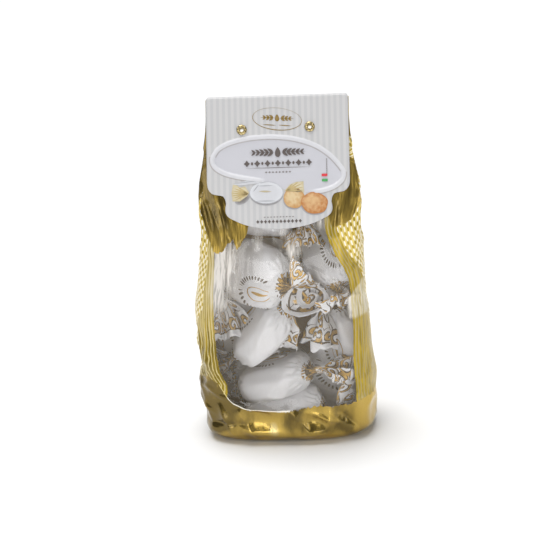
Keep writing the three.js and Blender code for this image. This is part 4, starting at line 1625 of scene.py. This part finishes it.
class BAG_OT_card(bpy.types.Operator):
    """Make the folded header card with its pressed oval, and what is printed on it"""

    bl_idname = "biscuit_bag.card"
    bl_label = "Header Card"

    def execute(self, context):
        settings = context.scene.biscuit_card
        path, travelled = card_path()
        share = np.linspace(-1, 1, 150)
        across = path[:, 2:3] * share[None]
        y = np.broadcast_to(path[:, :1], across.shape).copy()
        z = np.broadcast_to(path[:, 1:2], across.shape)
        on_front = (travelled > 0)[:, None] & (y < 0)
        down = np.broadcast_to(travelled[:, None], across.shape)
        y = y - np.where(on_front, oval_relief(across, down), 0)
        off, shown = oval_distance(across, down) / UV_UNIT, oval_fading(across, down)
        layers = {
            "print": np.stack([across, down], -1) / UV_UNIT,
            "oval": np.stack([off, shown], -1),
        }
        sheet = to_header(np.stack([across, y, z], -1))
        made = grid_object("folded_header_card", sheet, layers, False)
        thicken(made, CARD_THICKNESS)
        cut_holes(made, EYELET_BARREL + EYELET_PLAY)
        dress(made, card_material(settings))
        own(made, "card", "header_card")
        self.print_shapes(settings)
        return {"FINISHED"}

    def print_shapes(self, settings):
        gold = ink_material("metallic_gold_ink", "#A58C55", "#8E7440", metallic=0.5, roughness=0.4)
        crest = ring_outlines(0, 12.3, 14.0, 6.4, 0.45, 0.13)
        crest += [almond_outline(0, 11.6, 2.0, 1.5, -math.pi / 2)]
        for side in (-1, 1):
            crest += branch(side, 2.2, 11.7 + side * 0.2, 3, 2.1, 2.9, 0.7, rise=side * 0.4)
            crest += [rule_outline(side * 4.4, 15.8 + side * 0.3, 3.6, 0.25, 0.1)]
        printed_piece("gold_crest", crest, gold)
        brown = ink_material("grey_brown_ink", settings.ornament, settings.ornament)
        row = [almond_outline(0, 31.1, 2.8, 1.9, -math.pi / 2)]
        for side in (-1, 1):
            row += branch(side, 2.6, 31.1, settings.leaves, 2.5, 4.0, 0.8)
        for i in range(13):
            across = (i - 6) * 2.9
            if i % 2:
                row.append(oval_outline(across, 37.3, 0.65, 0.9, steps=12))
            else:
                row.append(lozenge_outline(across, 37.3, 1.8, 1.9))
        row += [rule_outline(0, 39.9, 18, 0.14)]
        printed_piece("laurel_row", row, brown)
        grey = ink_material("grey_ink", "#7F7A78", "#85817E")
        small = [lozenge_outline((i - 3.5) * 1.9, 42.4, 0.8, 0.6) for i in range(8)]
        small += [lozenge_outline((i - 4.5) * 1.75, 67.7, 0.7, 0.4) for i in range(10)]
        small += [oval_outline(27.2, 35.9 + 1.1 * i, 0.28, 0.42, steps=10) for i in range(8)]
        printed_piece("small_lozenges", small, grey)
        large = [lozenge_outline((i - 5.5) * 2.15, 70.2, 0.95, 1.15) for i in range(12)]
        printed_piece("foot_lozenges", large, brown)
        self.print_pictures()

    def print_pictures(self):
        shadow = ink_material("soft_grey_ink", "#75706E", "#A7A6A8", spread=3.0)
        shadows = [
            oval_outline(*place)
            for place in (
                (8.3, 58.6, 5.8, 5.2, 0.1),
                (19.6, 61.6, 7.4, 5.6, 0.15),
                (-6.8, 54.9, 9.4, 6.3, 0.03),
                (-20.3, 56.9, 4.6, 2.9, -0.5),
            )
        ]
        printed_piece("pictured_shadows", shadows, shadow)
        straw = ink_material("straw_gold_ink", "#C4B07E", "#B09A68", grain=0.2)
        pale = ink_material("pale_straw_ink", "#D2C9AE", "#C6B891", grain=0.4)
        near = [
            (-25.4, 48.9), (-26.3, 53.6), (-25.7, 58.3), (-21.7, 58.4), (-17.6, 55.6),
            (-16.4, 53.6), (-18.6, 50.0), (-21.5, 50.6), (-23.4, 49.2),
        ]
        far = [(3.4, 53.2), (6.3, 49.8), (9.8, 48.3), (14.1, 48.0), (14.3, 54.4), (9.7, 54.0)]
        printed_piece("pictured_fans", [np.array(near, float), np.array(far, float)], pale, layer=1)
        near_folds = ((155, 8.5), (165, 9.0), (174, 9.3), (183, 9.3), (192, 9.0), (202, 8.5), (213, 7))
        far_folds = ((-46, 5.5), (-34, 8.5), (-23, 10.2), (-11, 10), (0, 9.5))
        folds = [leaf_outline(-16.8, 54.2, reach, 0.42, math.radians(a)) for a, reach in near_folds]
        folds += [leaf_outline(4.2, 53.2, reach, 0.4, math.radians(a)) for a, reach in far_folds]
        printed_piece("pictured_folds", folds, straw, layer=2)
        white = ink_material("white_ink", "#C9CACE", "#DADCE0", spread=6.0)
        wing = [(-25.8, 48.8), (-18, 46.9), (-10, 46.6), (-7, 48.4), (-13, 48.6), (-20, 49.3)]
        sweet = oval_outline(-6.8, 54.0, 9.4, 6.2, 0.03)
        paper = [sweet, np.array(wing, float)]
        printed_piece("pictured_paper", paper, white, layer=2, lit=(0.05, 0.1))
        line = ink_material("pale_grey_ink", "#A3A4A9", "#AEB0B5")
        marks = [
            rule_outline(*place)
            for place in (
                (-6.9, 58.6, 5.6, 0.26, 0.02),
                (-17.5, 47.6, 8.0, 0.2, -0.1),
                (-12.5, 51.2, 2.6, 0.3, -0.9),
                (-7.2, 50.0, 4.4, 0.22, 0.0),
            )
        ]
        marks += ring_outlines(-6.8, 54.0, 9.3, 6.1, 0.2, 0.03)
        printed_piece("pictured_lines", marks, line, layer=3)
        faint = ink_material("faint_gold_ink", "#B5A888", "#B9B0A0")
        printed_piece("pictured_mark", [rule_outline(-7.4, 53.2, 3.6, 0.5, 0.04)], faint, layer=3)
        crumb = {"roughness": 0.6, "grain": 0.5}
        tan = ink_material("biscuit_tan_ink", "#D3BC92", "#BE8F57", spread=2.2, **crumb)
        toast = ink_material("biscuit_toast_ink", "#D0AB7C", "#B3743C", spread=1.8, **crumb)
        tan_disc = [oval_outline(8.7, 57.3, 5.9, 5.7, 0.1, rough=0.015, seed=1)]
        toast_disc = [oval_outline(20.0, 60.4, 7.5, 6.1, 0.15, rough=0.015, seed=2)]
        printed_piece("pictured_biscuit_pale", tan_disc, tan, layer=1, lit=(-0.35, -0.25))
        printed_piece("pictured_biscuit_toasted", toast_disc, toast, layer=2, lit=(-0.4, -0.45))
        bar = np.array([(-1.6, -0.75), (1.6, -0.75), (1.6, 0.75), (-1.6, 0.75)])
        for name, place, middle, rim in (
            ("red", (25.9, 44.8), "#D5434A", "#C9373F"),
            ("green", (26.0, 47.7), "#4FA45F", "#459653"),
        ):
            printed_piece(f"{name}_bar", [bar + place], ink_material(f"{name}_ink", middle, rim))


# ---------------------------------------------------------------- the eyelets
RING_STEPS = 48
PETAL_WIDTH = 0.56


def brass_material():
    """Stamped brass, tumbled bright: yellow metal with a soft shine and darker dents."""
    bright, dented = linear("#D9C794"), linear("#77663B")
    shine = {"metallic": 1.0, "roughness": "0.16 + 0.2 * cloud"}
    return plain_material("stamped_brass", bright, dented, 1.429, 3.0, (0.3, 0.1), **shine)


def petal_tree(material):
    """Geometry Nodes: one petal set round an eyelet's axis as often as asked."""
    tree = bpy.data.node_groups.new("petals_round_an_eyelet", "GeometryNodeTree")
    face = tree.interface
    for name, kind in (
        ("Geometry", "Geometry"), ("Count", "Int"), ("Radius", "Float"), ("Petal Width", "Float")
    ):
        face.new_socket(name, in_out="INPUT", socket_type=f"NodeSocket{kind}")
    face.new_socket("Geometry", in_out="OUTPUT", socket_type="NodeSocketGeometry")
    entry = tree.nodes.new("NodeGroupInput")
    count, radius, width = (entry.outputs[name] for name in ("Count", "Radius", "Petal Width"))
    ring = add(tree, "GeometryNodeMeshCircle", {"Vertices": count, "Radius": radius})
    petal = add(tree, "GeometryNodeMeshUVSphere", {"Segments": 10, "Rings": 7, "Radius": 1.0})
    outward = {"Vector": add(tree, "GeometryNodeInputPosition")}
    turn = add(tree, "FunctionNodeAlignRotationToVector", outward, axis="X")
    long = add(tree, "ShaderNodeMath", {0: width, 1: 1.25}, operation="MULTIPLY")
    high = add(tree, "ShaderNodeMath", {0: width, 1: 0.62}, operation="MULTIPLY")
    size = add(tree, "ShaderNodeCombineXYZ", {"X": long, "Y": width, "Z": high})
    petals = {"Points": ring, "Instance": petal, "Rotation": turn, "Scale": size}
    placed = add(tree, "GeometryNodeInstanceOnPoints", petals)
    joined = add(tree, "GeometryNodeJoinGeometry")
    tree.links.new(placed.outputs[0], joined.inputs[0])
    tree.links.new(entry.outputs["Geometry"], joined.inputs[0])
    real = add(tree, "GeometryNodeRealizeInstances", {0: joined})
    coated = add(tree, "GeometryNodeSetMaterial", {0: real, "Material": material})
    leave = tree.nodes.new("NodeGroupOutput")
    tree.links.new(coated.outputs[0], leave.inputs[0])
    return tree


def set_input(modifier, tree, name, value):
    """Sets a modifier's input by the identifier of its socket."""
    for item in tree.interface.items_tree:
        if item.item_type == "SOCKET" and item.in_out == "INPUT" and item.name == name:
            modifier[item.identifier] = value
            return
    raise KeyError(name)


def turned(profile, steps):
    """A ring turned from a closed profile of radius and height, round the Z axis."""
    turn = np.linspace(0, 2 * math.pi, steps, endpoint=False)
    radius, height = np.array(profile, float).T
    x = radius[:, None] * np.cos(turn)
    y = radius[:, None] * np.sin(turn)
    return np.stack([x, y, np.broadcast_to(height[:, None], x.shape)], -1)


def ring_object(name, profile):
    points = turned(profile, RING_STEPS)
    rows, columns = points.shape[:2]
    faces = []
    for r in range(rows):
        for c in range(columns):
            here, next_row, after = r * columns, (r + 1) % rows * columns, (c + 1) % columns
            faces.append([here + c, here + after, next_row + after, next_row + c])
    return plain_object(name, (points.reshape(-1, 3) * MM).tolist(), faces)


class BAG_OT_eyelets(bpy.types.Operator):
    """Make the brass eyelets with their split, turned-over petals"""

    bl_idname = "biscuit_bag.eyelets"
    bl_label = "Eyelets"

    def execute(self, context):
        settings = context.scene.biscuit_eyelets
        brass = brass_material()
        tree = petal_tree(brass)
        seat = CARD_OUTER + 0.3
        profile = [
            (EYELET_BORE, -seat - 0.5),
            (EYELET_BORE, seat + 0.55),
            (EYELET_BORE + 0.25, seat + 0.8),
            (EYELET_BARREL + 0.2, seat + 0.72),
            (EYELET_FLANGE - 0.35, seat + 0.32),
            (EYELET_FLANGE - 0.2, seat + 0.1),
            (EYELET_FLANGE - 0.35, seat),
            (EYELET_BARREL, seat),
            (EYELET_BARREL, -seat),
            (EYELET_FLANGE - 0.3, -seat),
            (EYELET_FLANGE - 0.1, -seat - 0.12),
            (EYELET_FLANGE - 0.3, -seat - 0.28),
            (EYELET_BARREL + 0.3, -seat - 0.36),
            (EYELET_BORE + 0.3, -seat - 0.72),
        ]
        for name, (across, down) in EYELETS.items():
            made = ring_object(f"brass_{name}", profile)
            petals = made.modifiers.new("petals", "NODES")
            petals.node_group = tree
            set_input(petals, tree, "Count", settings.petals)
            set_input(petals, tree, "Radius", (EYELET_BORE + EYELET_FLANGE) / 2 * MM)
            set_input(petals, tree, "Petal Width", PETAL_WIDTH * MM)
            bake_modifiers(made)
            coords = np.zeros(len(made.data.vertices) * 3)
            made.data.vertices.foreach_get("co", coords)
            coords = coords.reshape(-1, 3) / MM
            # the petals lie on the front flange
            coords[len(profile) * RING_STEPS :, 2] -= seat + 0.42
            # from turned round Z, with the front below, to the card's frame with the front at -Y
            local = np.stack([coords[:, 0] + across, coords[:, 2], coords[:, 1] * -1 - down], -1)
            made.data.vertices.foreach_set("co", (to_header(local) * MM).ravel())
            fix_normals(made)
            made.data.shade_smooth()
            own(made, "eyelet_metal", name)
        return {"FINISHED"}


# ---------------------------------------------------------------- the stage
CAMERA_AZIMUTH = 3.5  # degrees to the right of straight on
CAMERA_ELEVATION = 19.0
CAMERA_ROLL = -2.6
CAMERA_TARGET = (-3.7, 0.0, 92.0)
CAMERA_LENS = 94.9
LIGHTS = {
    # place in metres, size in metres, power in watts
    "key": ((-0.55, -1.00, 0.75), (0.45, 0.55), 2.3),
    "front": ((0.10, -1.25, 0.15), (0.90, 0.45), 4.2),
    "fill": ((0.95, -0.60, 0.40), (0.2, 0.7), 1.8),
}
SUN = ((-0.15, 0.15, 1.0), 50.0, 3.3)  # where it stands, how wide it is in degrees, strength
SURROUNDINGS = 0.2  # strength of the white light from all round
FLOOR_SIZE = 6.0  # metres from the middle to the floor's edges
LIT_HEIGHT = 0.09  # metres up to where the lamps point


def sheet_material(settings):
    """Matt background paper: an even pale tone without a shine."""
    pale, dim = toned(settings.floor), toned(settings.floor, 0.985)
    return plain_material("matt_background_paper", pale, dim, 333.3, roughness=0.9)


class BAG_OT_stage(bpy.types.Operator):
    """Make the floor, the backdrop, the soft lights and the camera"""

    bl_idname = "biscuit_bag.stage"
    bl_label = "Stage"

    def execute(self, context):
        settings = context.scene.biscuit_stage
        scene = context.scene
        scene.view_settings.view_transform = "Standard"
        size = FLOOR_SIZE
        floor = plain_object(
            "floor",
            [(-size, -size, 0), (size, -size, 0), (size, size, 0), (-size, size, 0)],
            [[0, 1, 2, 3]],
        )
        floor.data.materials.append(sheet_material(settings))
        world = bpy.data.worlds.new("studio")
        scene.world = world
        world.use_nodes = True
        white = world.node_tree.nodes["Background"]
        white.inputs["Color"].default_value = (1, 1, 1, 1)
        white.inputs["Strength"].default_value = SURROUNDINGS
        middle = Vector((0, 0, LIT_HEIGHT))
        for name, (place, extent, power) in LIGHTS.items():
            light = bpy.data.lights.new(name, "AREA")
            light.shape = "RECTANGLE"
            light.size, light.size_y = extent
            light.energy = power
            lamp = bpy.data.objects.new(name, light)
            lamp.location = place
            lamp.rotation_euler = (middle - Vector(place)).to_track_quat("-Z", "Y").to_euler()
            scene.collection.objects.link(lamp)
        stand, width, strength = SUN
        sun = bpy.data.lights.new("overhead", "SUN")
        sun.energy, sun.angle = strength, math.radians(width)
        lamp = bpy.data.objects.new("overhead", sun)
        lamp.rotation_euler = Vector(stand).to_track_quat("Z", "Y").to_euler()
        scene.collection.objects.link(lamp)
        self.add_camera(scene, settings)
        return {"FINISHED"}

    def add_camera(self, scene, settings):
        turn, rise, roll = map(math.radians, (CAMERA_AZIMUTH, CAMERA_ELEVATION, CAMERA_ROLL))
        back = Vector(
            (math.sin(turn) * math.cos(rise), -math.cos(turn) * math.cos(rise), math.sin(rise))
        )
        right = Vector((math.cos(turn), math.sin(turn), 0))
        up = back.cross(right)
        across = right * math.cos(roll) + up * math.sin(roll)
        upright = up * math.cos(roll) - right * math.sin(roll)
        place = Vector(CAMERA_TARGET) * MM + back * settings.distance
        camera = bpy.data.cameras.new("camera")
        camera.lens, camera.sensor_width = CAMERA_LENS, 36.0
        camera.clip_start, camera.clip_end = 0.02, 50
        made = bpy.data.objects.new("camera", camera)
        turned_to = Matrix((across, upright, back)).transposed().to_4x4()
        made.matrix_world = Matrix.Translation(place) @ turned_to
        scene.collection.objects.link(made)
        scene.camera = made


# ---------------------------------------------------------------- the add-on
class BAG_PT_panel(bpy.types.Panel):
    bl_label = "Biscuit Bag"
    bl_idname = "BAG_PT_panel"
    bl_space_type = "VIEW_3D"
    bl_region_type = "UI"
    bl_category = "Biscuit Bag"

    def draw(self, context):
        for operator in OPERATORS:
            self.layout.operator(operator.bl_idname)


OPERATORS = (BAG_OT_stage, BAG_OT_card, BAG_OT_eyelets, BAG_OT_biscuits, BAG_OT_film)
SETTINGS = {
    "biscuit_film": FilmSettings,
    "biscuit_wrapped": BiscuitSettings,
    "biscuit_card": CardSettings,
    "biscuit_eyelets": EyeletSettings,
    "biscuit_stage": StageSettings,
}
CLASSES = (*SETTINGS.values(), *OPERATORS, BAG_PT_panel)


def register():
    for cls in CLASSES:
        bpy.utils.register_class(cls)
    for name, group in SETTINGS.items():
        setattr(bpy.types.Scene, name, bpy.props.PointerProperty(type=group))


def unregister():
    for name in SETTINGS:
        delattr(bpy.types.Scene, name)
    for cls in reversed(CLASSES):
        bpy.utils.unregister_class(cls)


def main():
    register()
    for operator in OPERATORS:
        group, name = operator.bl_idname.split(".")
        getattr(getattr(bpy.ops, group), name)()


if __name__ == "__main__":
    main()
